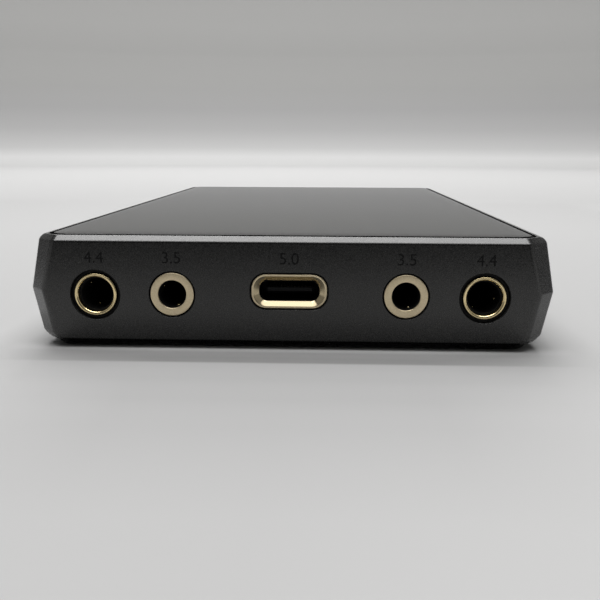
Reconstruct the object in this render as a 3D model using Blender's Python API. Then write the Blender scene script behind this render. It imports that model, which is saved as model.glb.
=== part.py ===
"""Digital audio player, modelled as the separate pieces that it is put together from.

Metres, +Z up. The player lies on its rear cover with the screen up, and the end with the sockets faces -Y.
The origin is on the floor, under the middle of the housing.
"""
import math

import bmesh
import bpy

# Clearances
FIT = 0.00012             # round a piece that slides or nests in another
SEAT = 0.00015            # between faces that rest on each other
OVERRUN = 0.001           # how far a cutting shape runs past the face it opens

# Housing, seen from above
BODY_LENGTH = 0.130
BODY_WIDTH = 0.0739       # ridge to ridge
CORNER_CHAMFER = 0.00245  # leg of the facet on each upright corner, up to the ridge
CORNER_SPREAD = 0.0004    # how much longer the leg grows from the ridge to the top chamfer
SIDE_LEAN_ABOVE = 0.0012    # how far a side leans in from the ridge to the top chamfer
SIDE_LEAN_BELOW = 0.00135   # the same, from the ridge down to the bottom chamfer
CORNER_SOFT = 0.0005      # how far the rounding of a facet's upright edges reaches to each side
TOP_CHAMFER = 0.00076     # flat along the two ends and on the corner facets
SIDE_ROUND = 0.0012       # rounding along the two sides, instead of that flat
BOTTOM_CHAMFER = 0.0010
END_BOTTOM_CHAMFER = 0.0003
EDGE_BREAK = 0.00012      # half of the small flat along the ridge and the lower edges
SIDE_WALL = 0.00522       # ridge to the inner cavity
END_WALL = 0.0032
CAVITY_RADIUS = 0.00075

# Stack of heights, from the floor up
COVER_THICK = 0.0015
COVER_SEAT = 0.0005       # how deep the rear cover sits in the housing
SEAL_THICK = 0.0003
INNER_HEIGHT = 0.0099     # cavity behind the mid-plate
MID_PLATE = 0.0012
DISPLAY_THICK = 0.0017
GASKET_THICK = 0.0003
GLASS_THICK = 0.0008
GLASS_PROUD = 0.00015     # front glass above the housing's rim

# Glass, gasket and rear cover, seen from above
TOP_RIM = 0.00015         # flat rim between the top edges and the glass pocket
GLASS_GAP = 0.0007        # black line round the glass, filled by the gasket's lip
GLASS_EDGE = 0.00012      # rounding on the upper edge of the glass
GLASS_LEDGE = 0.0012      # how far the glass overlaps its ledge
LIP_DROP = 0.00025        # gasket lip below the housing's rim
DISPLAY_GAP = 0.0004
COVER_RIM = 0.0005
COVER_GAP = 0.0002
COVER_EDGE = 0.00095      # rounding on the lower edge of the rear cover

# Boards
BOARD_THICK = 0.0008
BOARD_GAP = 0.0008        # board edge to its neighbours
BOARD_LENGTH = 0.038      # of the main board, behind the jacks
BOARD_DROP = 0.00101      # mid-plate to the main board
AUDIO_LIFT = 0.0004       # rear ledge to the audio board
BOARD_TAB = 0.0005        # main board tongue short of the end wall
CONNECTOR_WIDTH = 0.016
CONNECTOR_DEPTH = 0.004
SHIELD_WALL = 0.0003
SHIELD_INSET = 0.0055     # shields in from the standoffs' rows
CPU_SHIELD_HEIGHT = 0.0021
CPU_SHIELD_WIDTH = 0.024
AUDIO_SHIELD_HEIGHT = 0.0024
PAD_SIZE = 0.014
FLEX_WIDTH = 0.016
FLEX_THICK = 0.0002
FLEX_FOOT = 0.005
FLEX_SLOT = 0.0014

# Fixings
STANDOFF_INSET = 0.0028   # from the board's edges
STANDOFF_RADIUS = 0.0016
STUD_RADIUS = 0.0007
STUD_GRIP = 0.0012        # stud length past the main board
BOSS_WALL = 0.0009
SCREW_HEAD_RADIUS = 0.0013
SCREW_HEAD = 0.0004
SCREW_LENGTH = 0.0035

# Battery and antenna
BATTERY_GAP = 0.0012
BATTERY_THICK = 0.0080
BATTERY_ROUND = 0.0012
BATTERY_CAP_LENGTH = 0.0035
BATTERY_CAP_HEIGHT = 0.0050
LEAD_WIDTH = 0.008
LEAD_REACH = 0.0045
ANTENNA_WIDTH = 0.030
ANTENNA_LENGTH = 0.009
ANTENNA_THICK = 0.0002

# Jacks in the end panel
JACK_PITCH_GAP = 0.0034   # between the two jacks of a pair
JACK_SHIFT = -0.00008     # of all four jacks along the panel
JACK_BODY_WALL = 0.0004   # body past its panel hole, at each side
JACK_TOP_GAP = 0.0004
JACK_BACK_WALL = 0.0010
JACK_ROUND = 0.0006
RING_SEAT = 0.0020        # how far a ring reaches into the jack's body
RING_EDGE = 0.00012
JACK44_HOLE = 0.00710
JACK44_LIFT = -0.00005     # above the height of the jacks' row
JACK44_RING = 0.00598
JACK44_BORE = 0.00490     # inside the ring's lip
JACK44_RECESS = 0.00015   # ring face behind the panel
JACK44_BEVEL = 0.00018    # slope from the ring's face into its mouth
JACK44_MOUTH = 0.00011    # mouth wider than the lip, at each side
JACK44_STEP = 0.00047     # ring face to the lip
JACK44_LIP = 0.00024      # thickness of the lip
JACK44_WALL = 0.0003      # of the ring, behind its lip
JACK44_LINER = 0.00450    # bore of the moulded liner
JACK44_LENGTH = 0.016
COLLAR_RECESS = 0.0006
JACK35_LIFT = 0.00009
JACK35_RING = 0.00610
JACK35_BORE = 0.00395
JACK35_RECESS = 0.00005
JACK35_BORE_EDGE = 0.00009
JACK35_LIP = 0.00040
JACK35_WALL = 0.0006
JACK35_LINER = 0.00380
JACK35_LENGTH = 0.0125

# Reversible USB socket
TRIM_WIDTH = 0.01050
TRIM_HEIGHT = 0.00478
TRIM_RADIUS = 0.00205
TRIM_RIM = 0.00028        # flat front rim
TRIM_EDGE = 0.00008       # broken outer edge of that rim
TRIM_BEVEL_DEPTH = 0.0006
TRIM_DEPTH = 0.0009
TRIM_RECESS = 0.00012     # trim behind the panel
TRIM_GAP = 0.00025        # round the trim in its hole
USB_MOUTH_WIDTH = 0.00840
USB_MOUTH_HEIGHT = 0.00288
USB_MOUTH_RADIUS = 0.00120
USB_WALL = 0.0003
USB_LENGTH = 0.0073
USB_TONGUE_WIDTH = 0.0067
USB_TONGUE_THICK = 0.0007
USB_TONGUE_INSET = 0.0009   # tongue tip behind the mouth
USB_TONGUE_NOSE = 0.00025   # length over which the tongue narrows to its tip
USB_TONGUE_SLIM = 0.00011   # how much it narrows, at each side
USB_BASE_LENGTH = 0.0020

# Side keys
RIDGE_DROP = 0.00204      # ridge below the main board
KEY_ROW_GAP = 0.012       # first key past the main board
KEY_PITCH = 0.013
KEY_LONG = 0.009
KEY_SHORT = 0.006
KEY_HEIGHT = 0.0028
KEY_PROUD = 0.00035
KEY_EDGE = 0.0003
KEY_WALL = 0.0032         # housing wall left at the keys
KEY_LIP = 0.0005          # flange past the slot
KEY_FLANGE = 0.0006
KEY_NUB = 0.0003
KEY_NUB_LENGTH = 0.0024
KEY_NUB_HEIGHT = 0.0014
KEY_TRAVEL = 0.0003
PLUNGER_RADIUS = 0.0008
PLUNGER_PROUD = 0.0006
PLUNGER_HOLD = 0.0005     # plunger length inside its switch
SWITCH_LENGTH = 0.0038
SWITCH_HEIGHT = 0.0028
SWITCH_THICK = 0.0016
SWITCH_ROUND = 0.0003
KEY_BOARD_THICK = 0.0005
KEY_BOARD_MARGIN = 0.004
KEY_BOARD_DROP = 0.0030   # key board below the ridge
KEY_POCKET_LEDGE = 0.0003
RAIL_THICK = 0.0008
RAIL_HEIGHT = 0.0016

# Memory card tray
DOOR_LENGTH = 0.0176
DOOR_HEIGHT = 0.0028
DOOR_THICK = 0.0024
BLADE_LENGTH = 0.019
BLADE_WIDTH = 0.0126
BLADE_THICK = 0.0011
CARD_LENGTH = 0.0153
CARD_WIDTH = 0.0112
CARD_DEPTH = 0.0007
CARD_INSET = 0.0010       # card seat short of the blade's tip
PIN_HOLE_RADIUS = 0.00045
PIN_HOLE_INSET = 0.0013
SOCKET_WALL = 0.0005
SOCKET_BACK = 0.0010

# Facets
ROUND_STEPS = 6           # per quarter of a rounded rectangle
ROUND_COUNT = 4 * (ROUND_STEPS + 1)
CORNER_STEPS = 3          # per rounded edge of a facet
TOP_STEPS = 4             # of the rounding along the sides, above the ends' flat
STADIUM_STEPS = 12        # per half circle
PLAIN_STEPS = 2           # the same as ROUND_STEPS, on pieces that stay inside
PLAIN_COUNT = 4 * (PLAIN_STEPS + 1)

# Names and places of what repeats
LEFT = -1
RIGHT = 1
KEYS = (
    ("power", LEFT, 2, KEY_SHORT),
    ("volume_up", LEFT, 1, KEY_LONG),
    ("volume_down", LEFT, 0, KEY_LONG),
    ("previous", RIGHT, 2, KEY_LONG),
    ("play", RIGHT, 1, KEY_SHORT),
    ("next", RIGHT, 0, KEY_LONG),
)
KEYS_PER_SIDE = 3
JACK44_SIDES = (("line_out_44", LEFT), ("headphone_44", RIGHT))
JACK35_SIDES = (("line_out_35", LEFT), ("headphone_35", RIGHT))

# Plan of the housing
half_width = BODY_WIDTH / 2
half_length = BODY_LENGTH / 2
low_half = half_width - SIDE_LEAN_BELOW
under_half = low_half - BOTTOM_CHAMFER
under_length = half_length - END_BOTTOM_CHAMFER
top_length = half_length - TOP_CHAMFER
cavity_half = half_width - SIDE_WALL
cavity_length = half_length - END_WALL
panel_y = -half_length
inner_y = -cavity_length

# A facet of leg c on a square corner matches a round of radius c / OCTAGON
OCTAGON = 2 - math.sqrt(2)
corner_radius = CORNER_CHAMFER / OCTAGON
cover_pocket_half = under_half - COVER_RIM
cover_pocket_length = under_length - COVER_RIM
cover_pocket_radius = corner_radius - END_BOTTOM_CHAMFER - COVER_RIM

# Heights above the floor
under_z = COVER_THICK - COVER_SEAT
seal_z = COVER_THICK + SEAT
rear_ledge_z = seal_z + SEAL_THICK + SEAT
ceiling_z = rear_ledge_z + INNER_HEIGHT
display_floor_z = ceiling_z + MID_PLATE
display_z = display_floor_z + SEAT
glass_z = display_z + DISPLAY_THICK + SEAT
gasket_z = glass_z - SEAT - GASKET_THICK
glass_ledge_z = gasket_z - SEAT
body_height = glass_z + GLASS_THICK
rim_z = body_height - GLASS_PROUD
audio_z = rear_ledge_z + AUDIO_LIFT
audio_top_z = audio_z + BOARD_THICK
main_top_z = ceiling_z - BOARD_DROP
main_z = main_top_z - BOARD_THICK
ridge_z = main_z - RIDGE_DROP
shoulder_z = rim_z - TOP_CHAMFER
low_z = under_z + BOTTOM_CHAMFER
slope_above = SIDE_LEAN_ABOVE / (shoulder_z - ridge_z)
slope_below = SIDE_LEAN_BELOW / (ridge_z - low_z)
usb_half_height = USB_MOUTH_HEIGHT / 2 + USB_WALL
usb_z = main_z - SEAT - usb_half_height
jack_z = (audio_top_z + ceiling_z) / 2
jack44_z = jack_z + JACK44_LIFT
jack35_z = jack_z + JACK35_LIFT

# Rounding along the sides, and the glass inside it
side_lean = math.atan(slope_above)
round_z = rim_z - SIDE_ROUND
round_x = half_width - slope_above * (round_z - ridge_z) - SIDE_ROUND / math.cos(side_lean)
shoulder_half = half_width - SIDE_LEAN_ABOVE
shoulder_leg = CORNER_CHAMFER + CORNER_SPREAD
rim_leg = round_x + top_length - shoulder_half - half_length + shoulder_leg + math.sqrt(2) * TOP_CHAMFER
pocket_half = round_x - TOP_RIM
pocket_length = top_length - TOP_RIM
pocket_radius = rim_leg / OCTAGON - TOP_RIM
glass_half = pocket_half - GLASS_GAP
glass_length = pocket_length - GLASS_GAP
glass_radius = pocket_radius - GLASS_GAP
opening_half = glass_half - GLASS_LEDGE
opening_length = glass_length - GLASS_LEDGE
opening_radius = glass_radius - GLASS_LEDGE

# Places along the housing
jack44_half = JACK44_HOLE / 2 + JACK_BODY_WALL
jack35_half = JACK35_RING / 2 + JACK_BODY_WALL
jack44_x = cavity_half - CAVITY_RADIUS - jack44_half
jack35_x = jack44_x - jack44_half - JACK_PITCH_GAP - jack35_half
board_half = cavity_half - BOARD_GAP
board_front_y = inner_y + SEAT + JACK44_LENGTH + BOARD_GAP
board_back_y = board_front_y + BOARD_LENGTH
board_middle_y = (board_front_y + board_back_y) / 2
key_row_y = board_back_y + KEY_ROW_GAP
standoff_x = board_half - STANDOFF_INSET
standoff_front_y = board_front_y + STANDOFF_INSET
standoff_back_y = board_back_y - STANDOFF_INSET
STANDOFF_PLACES = (
    ("front_left", -standoff_x, standoff_front_y),
    ("front_right", standoff_x, standoff_front_y),
    ("back_left", -standoff_x, standoff_back_y),
    ("back_right", standoff_x, standoff_back_y),
)
shield_front_y = standoff_front_y + STANDOFF_RADIUS + BOARD_GAP
connector_y = board_back_y - BOARD_GAP - CONNECTOR_DEPTH / 2
shield_back_y = connector_y - CONNECTOR_DEPTH / 2 - BOARD_GAP
shield_middle_y = (shield_front_y + shield_back_y) / 2
shield_half_length = (shield_back_y - shield_front_y) / 2
audio_shield_half = standoff_x - SHIELD_INSET
cpu_x = audio_shield_half - CPU_SHIELD_WIDTH / 2

# Depths inwards from the ridge, through a key to its board
flange_depth = KEY_WALL + FIT
nub_depth = flange_depth + KEY_FLANGE
plunger_depth = nub_depth + KEY_NUB + FIT
switch_depth = plunger_depth + PLUNGER_PROUD
key_board_depth = switch_depth + SWITCH_THICK + FIT
rail_depth = key_board_depth + KEY_BOARD_THICK + FIT
rail_inner = half_width - rail_depth - RAIL_THICK
key_row_start = key_row_y - KEY_LONG / 2 - KEY_BOARD_MARGIN
key_row_end = key_row_y + (KEYS_PER_SIDE - 1) * KEY_PITCH + KEY_LONG / 2 + KEY_BOARD_MARGIN
key_row_middle = (key_row_start + key_row_end) / 2
key_row_half = (key_row_end - key_row_start) / 2
key_pocket_z = ridge_z - KEY_BOARD_DROP - KEY_POCKET_LEDGE


# Outlines, as points in a plane

def rounded(half_u, half_v, radius, centre_v=0.0, steps=ROUND_STEPS):
    """A rounded rectangle, anticlockwise from the middle right."""
    points = []
    signs = ((1, 1), (-1, 1), (-1, -1), (1, -1))
    for corner, (sign_u, sign_v) in enumerate(signs):
        for step in range(steps + 1):
            angle = math.pi / 2 * (corner + step / steps)
            u = sign_u * (half_u - radius) + radius * math.cos(angle)
            v = sign_v * (half_v - radius) + radius * math.sin(angle)
            points.append((u, centre_v + v))
    return points


def plain(half_u, half_v, radius, centre_v=0.0):
    """A rounded rectangle with few points, for a piece that stays inside."""
    return rounded(half_u, half_v, radius, centre_v, PLAIN_STEPS)


def circle(radius, count=ROUND_COUNT):
    """A circle whose points face those of a rounded rectangle of the same count."""
    turn = 2 * math.pi / count
    return [(radius * math.cos(turn * (i + 0.5)), radius * math.sin(turn * (i + 0.5))) for i in range(count)]


def stadium(half_u, half_v):
    """A bar with round ends. Its first and its middle point are the two tips."""
    straight = half_u - half_v
    half = STADIUM_STEPS // 2
    turn = math.pi / STADIUM_STEPS
    right = [(straight + half_v * math.cos(turn * i), half_v * math.sin(turn * i)) for i in range(-half, half + 1)]
    left = [(-u, -v) for u, v in right]
    ring = right + left
    return ring[half:] + ring[:half]


def faceted(half_u, half_v, leg):
    """A rectangle with its corners cut at 45 degrees and both ends of each cut rounded."""
    radius = CORNER_SOFT / math.tan(math.pi / 8)
    cut = leg + CORNER_SOFT
    centres = ((half_u - radius, half_v - cut), (half_u - cut, half_v - radius))
    quarter = []
    for number, (u, v) in enumerate(centres):
        for step in range(CORNER_STEPS + 1):
            angle = math.pi / 4 * (number + step / CORNER_STEPS)
            quarter.append((u + radius * math.cos(angle), v + radius * math.sin(angle)))
    upper = quarter + [(-u, v) for u, v in reversed(quarter)]
    return upper + [(-u, -v) for u, v in upper]


def across_z(outline, z):
    return [(u, v, z) for u, v in outline]


def across_y(outline, y):
    return [(u, y, v) for u, v in outline]


def across_x(outline, x):
    return [(x, u, v) for u, v in outline]


# Solids

def finish(name, colour, roughness, metallic):
    """A plain material for one kind of surface."""
    material = bpy.data.materials.new(name)
    material.use_nodes = True
    shader = material.node_tree.nodes["Principled BSDF"]
    shader.inputs["Base Color"].default_value = (*colour, 1.0)
    shader.inputs["Roughness"].default_value = roughness
    shader.inputs["Metallic"].default_value = metallic
    return material


def add_loft(bm, rings, closed=False, tipped=False):
    """Bridge rings of equal count. An open loft is capped, a closed one joins its last ring to its first.
    A tipped loft ends in two faces that meet along the line between the last ring's two tips."""
    loops = [[bm.verts.new(point) for point in ring] for ring in rings]
    pairs = list(zip(loops, loops[1:]))
    if closed:
        pairs.append((loops[-1], loops[0]))
    count = len(loops[0])
    for lower, upper in pairs:
        for i in range(count):
            j = (i + 1) % count
            bm.faces.new((lower[i], lower[j], upper[j], upper[i]))
    if closed:
        return
    bm.faces.new(loops[0])
    last = loops[-1]
    if tipped:
        middle = count // 2
        bm.faces.new(last[:middle + 1])
        bm.faces.new(last[middle:] + last[:1])
    else:
        bm.faces.new(last)


def make_object(name, bm, material=None, at=(0, 0, 0), parent=None):
    """Turn a closed bmesh into a piece, or into a hidden cutter when it has no material."""
    bmesh.ops.recalc_face_normals(bm, faces=bm.faces)
    mesh = bpy.data.meshes.new(name)
    bm.to_mesh(mesh)
    bm.free()
    mesh.shade_smooth()
    mesh.set_sharp_from_angle(angle=math.radians(30))
    piece = bpy.data.objects.new(name, mesh)
    bpy.context.scene.collection.objects.link(piece)
    piece.location = at
    piece.parent = parent
    if material:
        mesh.materials.append(material)
    else:
        piece.hide_render = True
        piece.display_type = 'WIRE'
    return piece


def loft(name, rings, material=None, at=(0, 0, 0), parent=None, closed=False, tipped=False):
    bm = bmesh.new()
    add_loft(bm, rings, closed, tipped)
    return make_object(name, bm, material, at, parent)


def cutters(name, *lofts):
    """One hidden object that holds several closed shapes for a Boolean."""
    bm = bmesh.new()
    for rings in lofts:
        add_loft(bm, rings)
    return make_object(name, bm)


def combine(piece, other, operation='DIFFERENCE'):
    step = piece.modifiers.new(other.name, 'BOOLEAN')
    step.object = other
    step.operation = operation
    step.solver = 'EXACT'


def empty(name, at, turn_z=0.0):
    """A named place that pieces are parented to."""
    place = bpy.data.objects.new(name, None)
    bpy.context.scene.collection.objects.link(place)
    place.location = at
    place.rotation_euler = (0, 0, turn_z)
    return place


def upright(outline, low, high):
    """A straight prism between two heights."""
    return [across_z(outline, low), across_z(outline, high)]


def shifted(rings, x, y):
    return [[(px + x, py + y, pz) for px, py, pz in ring] for ring in rings]


def lengthwise(outline, front, back, x=0.0, z=0.0):
    """A straight prism along Y, centred on a line at x and z."""
    return [[(u + x, y, v + z) for u, v in outline] for y in (front, back)]


def sideways(outline, side, outer, inner, y):
    """A straight prism along X, between two depths measured inwards from the ridge of one side."""
    return [[(side * (half_width - depth), u + y, v + ridge_z) for u, v in outline] for depth in (outer, inner)]


# Housing

def top_levels():
    """From where the sides begin to round, past the line where the ends begin to slope, up to the rim."""
    crease = math.asin((shoulder_z - round_z) / SIDE_ROUND)
    angles = [side_lean]
    for step in range(TOP_STEPS + 1):
        angles.append(crease + (math.pi / 2 - crease) * step / TOP_STEPS)
    for angle in angles:
        z = round_z + SIDE_ROUND * math.sin(angle)
        half_u = round_x + SIDE_ROUND * math.cos(angle)
        cut = max(0.0, z - shoulder_z)
        rise = min(z, shoulder_z) - ridge_z
        side = half_width - slope_above * rise
        leg = CORNER_CHAMFER + CORNER_SPREAD * rise / (shoulder_z - ridge_z)
        diagonal = side + half_length - leg - math.sqrt(2) * cut
        yield z, half_u, half_length - cut, half_u + half_length - cut - diagonal


def eased(before, here, after):
    """Two levels instead of one, a little way towards each neighbour."""
    for other in (before, after):
        share = EDGE_BREAK / math.dist(here[:2], other[:2])
        yield [a + (b - a) * share for a, b in zip(here, other)]


def make_chassis(material):
    """A loft of faceted outlines, hollowed from both faces and pierced for sockets, keys and tray."""
    small_leg = CORNER_CHAMFER - OCTAGON * END_BOTTOM_CHAMFER
    end_z = under_z + END_BOTTOM_CHAMFER
    end_half = under_half + END_BOTTOM_CHAMFER
    under = (under_z, under_half, under_length, small_leg)
    edges = [(z, half_u, half_length, CORNER_CHAMFER)
             for z, half_u in ((end_z, end_half), (low_z, low_half), (ridge_z, half_width))]
    top = list(top_levels())
    levels = [under]
    for before, here, after in zip([under] + edges, edges, edges[1:] + top[:1]):
        levels += eased(before, here, after)
    levels += top
    rings = [across_z(faceted(half_u, half_v, leg), z) for z, half_u, half_v, leg in levels]
    chassis = loft("chassis", rings, material)
    for tool in hollow_cutters():
        combine(chassis, tool)
    combine(chassis, bosses_and_rails(), 'UNION')
    combine(chassis, boss_holes())
    combine(chassis, port_holes())
    combine(chassis, side_slots())
    return chassis


def hollow_cutters():
    glass_outline = rounded(pocket_half, pocket_length, pocket_radius)
    display_outline = rounded(opening_half, opening_length, opening_radius)
    cover_outline = rounded(cover_pocket_half, cover_pocket_length, cover_pocket_radius)
    cavity_outline = rounded(cavity_half, cavity_length, CAVITY_RADIUS)
    yield cutters("glass_pocket", upright(glass_outline, glass_ledge_z, rim_z + OVERRUN))
    yield cutters("display_pocket", upright(display_outline, display_floor_z, glass_ledge_z + OVERRUN))
    yield cutters("cover_pocket", upright(cover_outline, under_z - OVERRUN, rear_ledge_z))
    yield cutters("cavity", upright(cavity_outline, rear_ledge_z - OVERRUN, ceiling_z))
    pockets = []
    for side in (LEFT, RIGHT):
        x_middle = side * (half_width - (KEY_WALL + SIDE_WALL + OVERRUN) / 2)
        half_u = (SIDE_WALL + OVERRUN - KEY_WALL) / 2
        outline = plain(half_u, key_row_half + BOARD_GAP, half_u / 2)
        pocket = upright(outline, key_pocket_z, ceiling_z - KEY_POCKET_LEDGE)
        pockets.append(shifted(pocket, x_middle, key_row_middle))
    yield cutters("key_pockets", *pockets)
    slot_outline = plain(FLEX_WIDTH / 2 + FLEX_SLOT / 2, FLEX_SLOT / 2, FLEX_SLOT / 4)
    slot = upright(slot_outline, ceiling_z - OVERRUN, display_floor_z + SEAT)
    yield cutters("flex_slot", shifted(slot, -cpu_x, shield_front_y))


def bosses_and_rails():
    """Bosses that the main board hangs from, and a rail behind each key board."""
    boss_radius = STUD_RADIUS + FIT + BOSS_WALL
    boss = upright(circle(boss_radius, PLAIN_COUNT), main_top_z + SEAT, ceiling_z + MID_PLATE / 2)
    solids = [shifted(boss, x, y) for name, x, y in STANDOFF_PLACES]
    rail_outline = plain(RAIL_THICK / 2, key_row_half, RAIL_THICK / 4)
    rail = upright(rail_outline, ceiling_z - RAIL_HEIGHT, ceiling_z + MID_PLATE / 2)
    for side in (LEFT, RIGHT):
        solids.append(shifted(rail, side * (rail_inner + RAIL_THICK / 2), key_row_middle))
    return cutters("bosses_and_rails", *solids)


def boss_holes():
    depth = main_top_z + STUD_GRIP + FIT
    hole = upright(circle(STUD_RADIUS + FIT, PLAIN_COUNT), main_top_z - OVERRUN, depth)
    return cutters("boss_holes", *[shifted(hole, x, y) for name, x, y in STANDOFF_PLACES])


def port_holes():
    """Round holes for the jacks and a rounded one for the USB trim, through the end wall."""
    front = panel_y - OVERRUN
    back = inner_y + OVERRUN
    holes = []
    for x, z, diameter in ((jack44_x, jack44_z, JACK44_HOLE), (jack35_x, jack35_z, JACK35_RING + 2 * FIT)):
        for side in (LEFT, RIGHT):
            holes.append(lengthwise(circle(diameter / 2), front, back, side * x + JACK_SHIFT, z))
    trim_hole = rounded(TRIM_WIDTH / 2 + TRIM_GAP, TRIM_HEIGHT / 2 + TRIM_GAP, TRIM_RADIUS + TRIM_GAP)
    holes.append(lengthwise(trim_hole, front, back, 0.0, usb_z))
    return cutters("port_holes", *holes)


def side_slots():
    """Slots for the keys and for the tray's door, through the side walls."""
    slots = []
    for name, side, place, length in KEYS:
        outline = stadium(length / 2 + FIT, KEY_HEIGHT / 2 + FIT)
        y = key_row_y + place * KEY_PITCH
        slots.append(sideways(outline, side, -OVERRUN, KEY_WALL + OVERRUN, y))
    door = stadium(DOOR_LENGTH / 2 + FIT, DOOR_HEIGHT / 2 + FIT)
    slots.append(sideways(door, LEFT, -OVERRUN, SIDE_WALL + OVERRUN, board_middle_y))
    return cutters("side_slots", *slots)


# Screen

def make_screen(glass, rubber, panel, flex):
    """Front glass with a rounded edge, its gasket, the display and the flat cable to the main board."""
    edge_steps = 3
    rings = [across_z(rounded(glass_half, glass_length, glass_radius), 0.0)]
    for step in range(edge_steps + 1):
        angle = math.pi / 2 * step / edge_steps
        inset = GLASS_EDGE * (1 - math.cos(angle))
        height = GLASS_THICK - GLASS_EDGE * (1 - math.sin(angle))
        outline = rounded(glass_half - inset, glass_length - inset, glass_radius - inset)
        rings.append(across_z(outline, height))
    loft("front_glass", rings, glass, at=(0, 0, glass_z))

    outer = rounded(pocket_half - FIT, pocket_length - FIT, pocket_radius - FIT)
    lip = rounded(glass_half + FIT, glass_length + FIT, glass_radius + FIT)
    inner = rounded(opening_half + FIT, opening_length + FIT, opening_radius + FIT)
    lip_height = rim_z - LIP_DROP - gasket_z
    rings = (
        across_z(outer, 0.0),
        across_z(outer, lip_height),
        across_z(lip, lip_height),
        across_z(lip, GASKET_THICK),
        across_z(inner, GASKET_THICK),
        across_z(inner, 0.0),
    )
    loft("screen_gasket", rings, rubber, at=(0, 0, gasket_z), closed=True)

    outline = rounded(opening_half - DISPLAY_GAP, opening_length - DISPLAY_GAP, opening_radius)
    loft("display_panel", upright(outline, 0.0, DISPLAY_THICK), panel, at=(0, 0, display_z))

    top = display_z - SEAT - (main_top_z + SEAT)
    half = FLEX_THICK / 2
    bend = ((-half, 0.0), (FLEX_FOOT, 0.0), (FLEX_FOOT, FLEX_THICK), (half, FLEX_THICK), (half, top), (-half, top))
    rings = [across_x(bend, x) for x in (-FLEX_WIDTH / 2, FLEX_WIDTH / 2)]
    loft("display_flex", rings, flex, at=(-cpu_x, shield_front_y, main_top_z + SEAT))


# Rear cover

def make_rear(glass, rubber, foil):
    """Rear cover with a rounded lower edge, the seal round the cavity and the antenna behind the cover."""
    half_u = cover_pocket_half - COVER_GAP
    half_v = cover_pocket_length - COVER_GAP
    radius = cover_pocket_radius - COVER_GAP
    edge_steps = 3
    rings = []
    for step in range(edge_steps + 1):
        angle = math.pi / 2 * step / edge_steps
        inset = COVER_EDGE * (1 - math.sin(angle))
        height = COVER_EDGE * (1 - math.cos(angle))
        rings.append(across_z(rounded(half_u - inset, half_v - inset, radius - inset), height))
    rings.append(across_z(rounded(half_u, half_v, radius), COVER_THICK))
    loft("rear_cover", rings, glass)

    outer = rounded(half_u - COVER_GAP, half_v - COVER_GAP, radius - COVER_GAP)
    inner = rounded(cavity_half + COVER_GAP, cavity_length + COVER_GAP, CAVITY_RADIUS + COVER_GAP)
    rings = upright(outer, 0.0, SEAL_THICK) + upright(inner, SEAL_THICK, 0.0)
    loft("rear_seal", rings, rubber, at=(0, 0, seal_z), closed=True)

    outline = plain(ANTENNA_WIDTH / 2, ANTENNA_LENGTH / 2, ANTENNA_THICK)
    place = (0, cavity_length - CAVITY_RADIUS - ANTENNA_LENGTH / 2, COVER_THICK + SEAT)
    loft("antenna", upright(outline, 0.0, ANTENNA_THICK), foil, at=place)


# Boards

def stud_holes(name, radius, low, high):
    hole = upright(circle(radius, PLAIN_COUNT), low, high)
    return cutters(name, *[shifted(hole, x, y) for place, x, y in STANDOFF_PLACES])


def make_main_board(laminate, tin, pad):
    """A board behind the jacks with a tongue between them that carries the USB socket."""
    tongue = jack35_x - jack35_half - BOARD_GAP
    front = inner_y + BOARD_TAB
    half_outline = ((tongue, front), (tongue, board_front_y), (board_half, board_front_y), (board_half, board_back_y))
    outline = list(half_outline) + [(-x, y) for x, y in reversed(half_outline)]
    board = loft("main_board", upright(outline, main_z, main_top_z), laminate)
    holes = stud_holes("main_board_holes", STUD_RADIUS + FIT, main_z - OVERRUN, main_top_z + OVERRUN)
    combine(board, holes)

    can(
        "cpu_shield", tin, CPU_SHIELD_WIDTH / 2, CPU_SHIELD_HEIGHT,
        at=(cpu_x, shield_middle_y, main_z - SEAT), opens_up=True,
    )
    outline = plain(PAD_SIZE / 2, PAD_SIZE / 2, BOARD_THICK)
    height = BOARD_DROP - 2 * SEAT
    loft("thermal_pad", upright(outline, 0.0, height), pad, at=(cpu_x, shield_middle_y, main_top_z + SEAT))


def can(name, material, half_u, height, at, opens_up):
    """A thin shielding can, open towards its board."""
    sign = -1 if opens_up else 1
    corner = BOARD_THICK
    outer = plain(half_u, shield_half_length, corner)
    inner = plain(half_u - SHIELD_WALL, shield_half_length - SHIELD_WALL, corner - SHIELD_WALL)
    rings = (
        across_z(outer, sign * height),
        across_z(outer, 0.0),
        across_z(inner, 0.0),
        across_z(inner, sign * (height - SHIELD_WALL)),
    )
    loft(name, rings, material, at=at)


def make_audio_board(laminate, tin, moulding):
    """The lower board, which the jacks stand on, with its shield and the connector up to the main board."""
    middle = (inner_y + BOARD_GAP + board_back_y) / 2
    half_v = (board_back_y - inner_y - BOARD_GAP) / 2
    outline = plain(board_half, half_v, BOARD_GAP)
    board = loft("audio_board", upright(outline, 0.0, BOARD_THICK), laminate, at=(0, middle, audio_z))
    holes = stud_holes("audio_board_holes", STUD_RADIUS + FIT, audio_z - OVERRUN, audio_top_z + OVERRUN)
    combine(board, holes)

    can(
        "audio_shield", tin, audio_shield_half, AUDIO_SHIELD_HEIGHT,
        at=(0, shield_middle_y, audio_top_z + SEAT), opens_up=False,
    )
    outline = plain(CONNECTOR_WIDTH / 2, CONNECTOR_DEPTH / 2, BOARD_THICK / 2)
    height = main_z - audio_top_z - 2 * SEAT
    loft("board_connector", upright(outline, 0.0, height), moulding, at=(0, connector_y, audio_top_z + SEAT))


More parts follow.
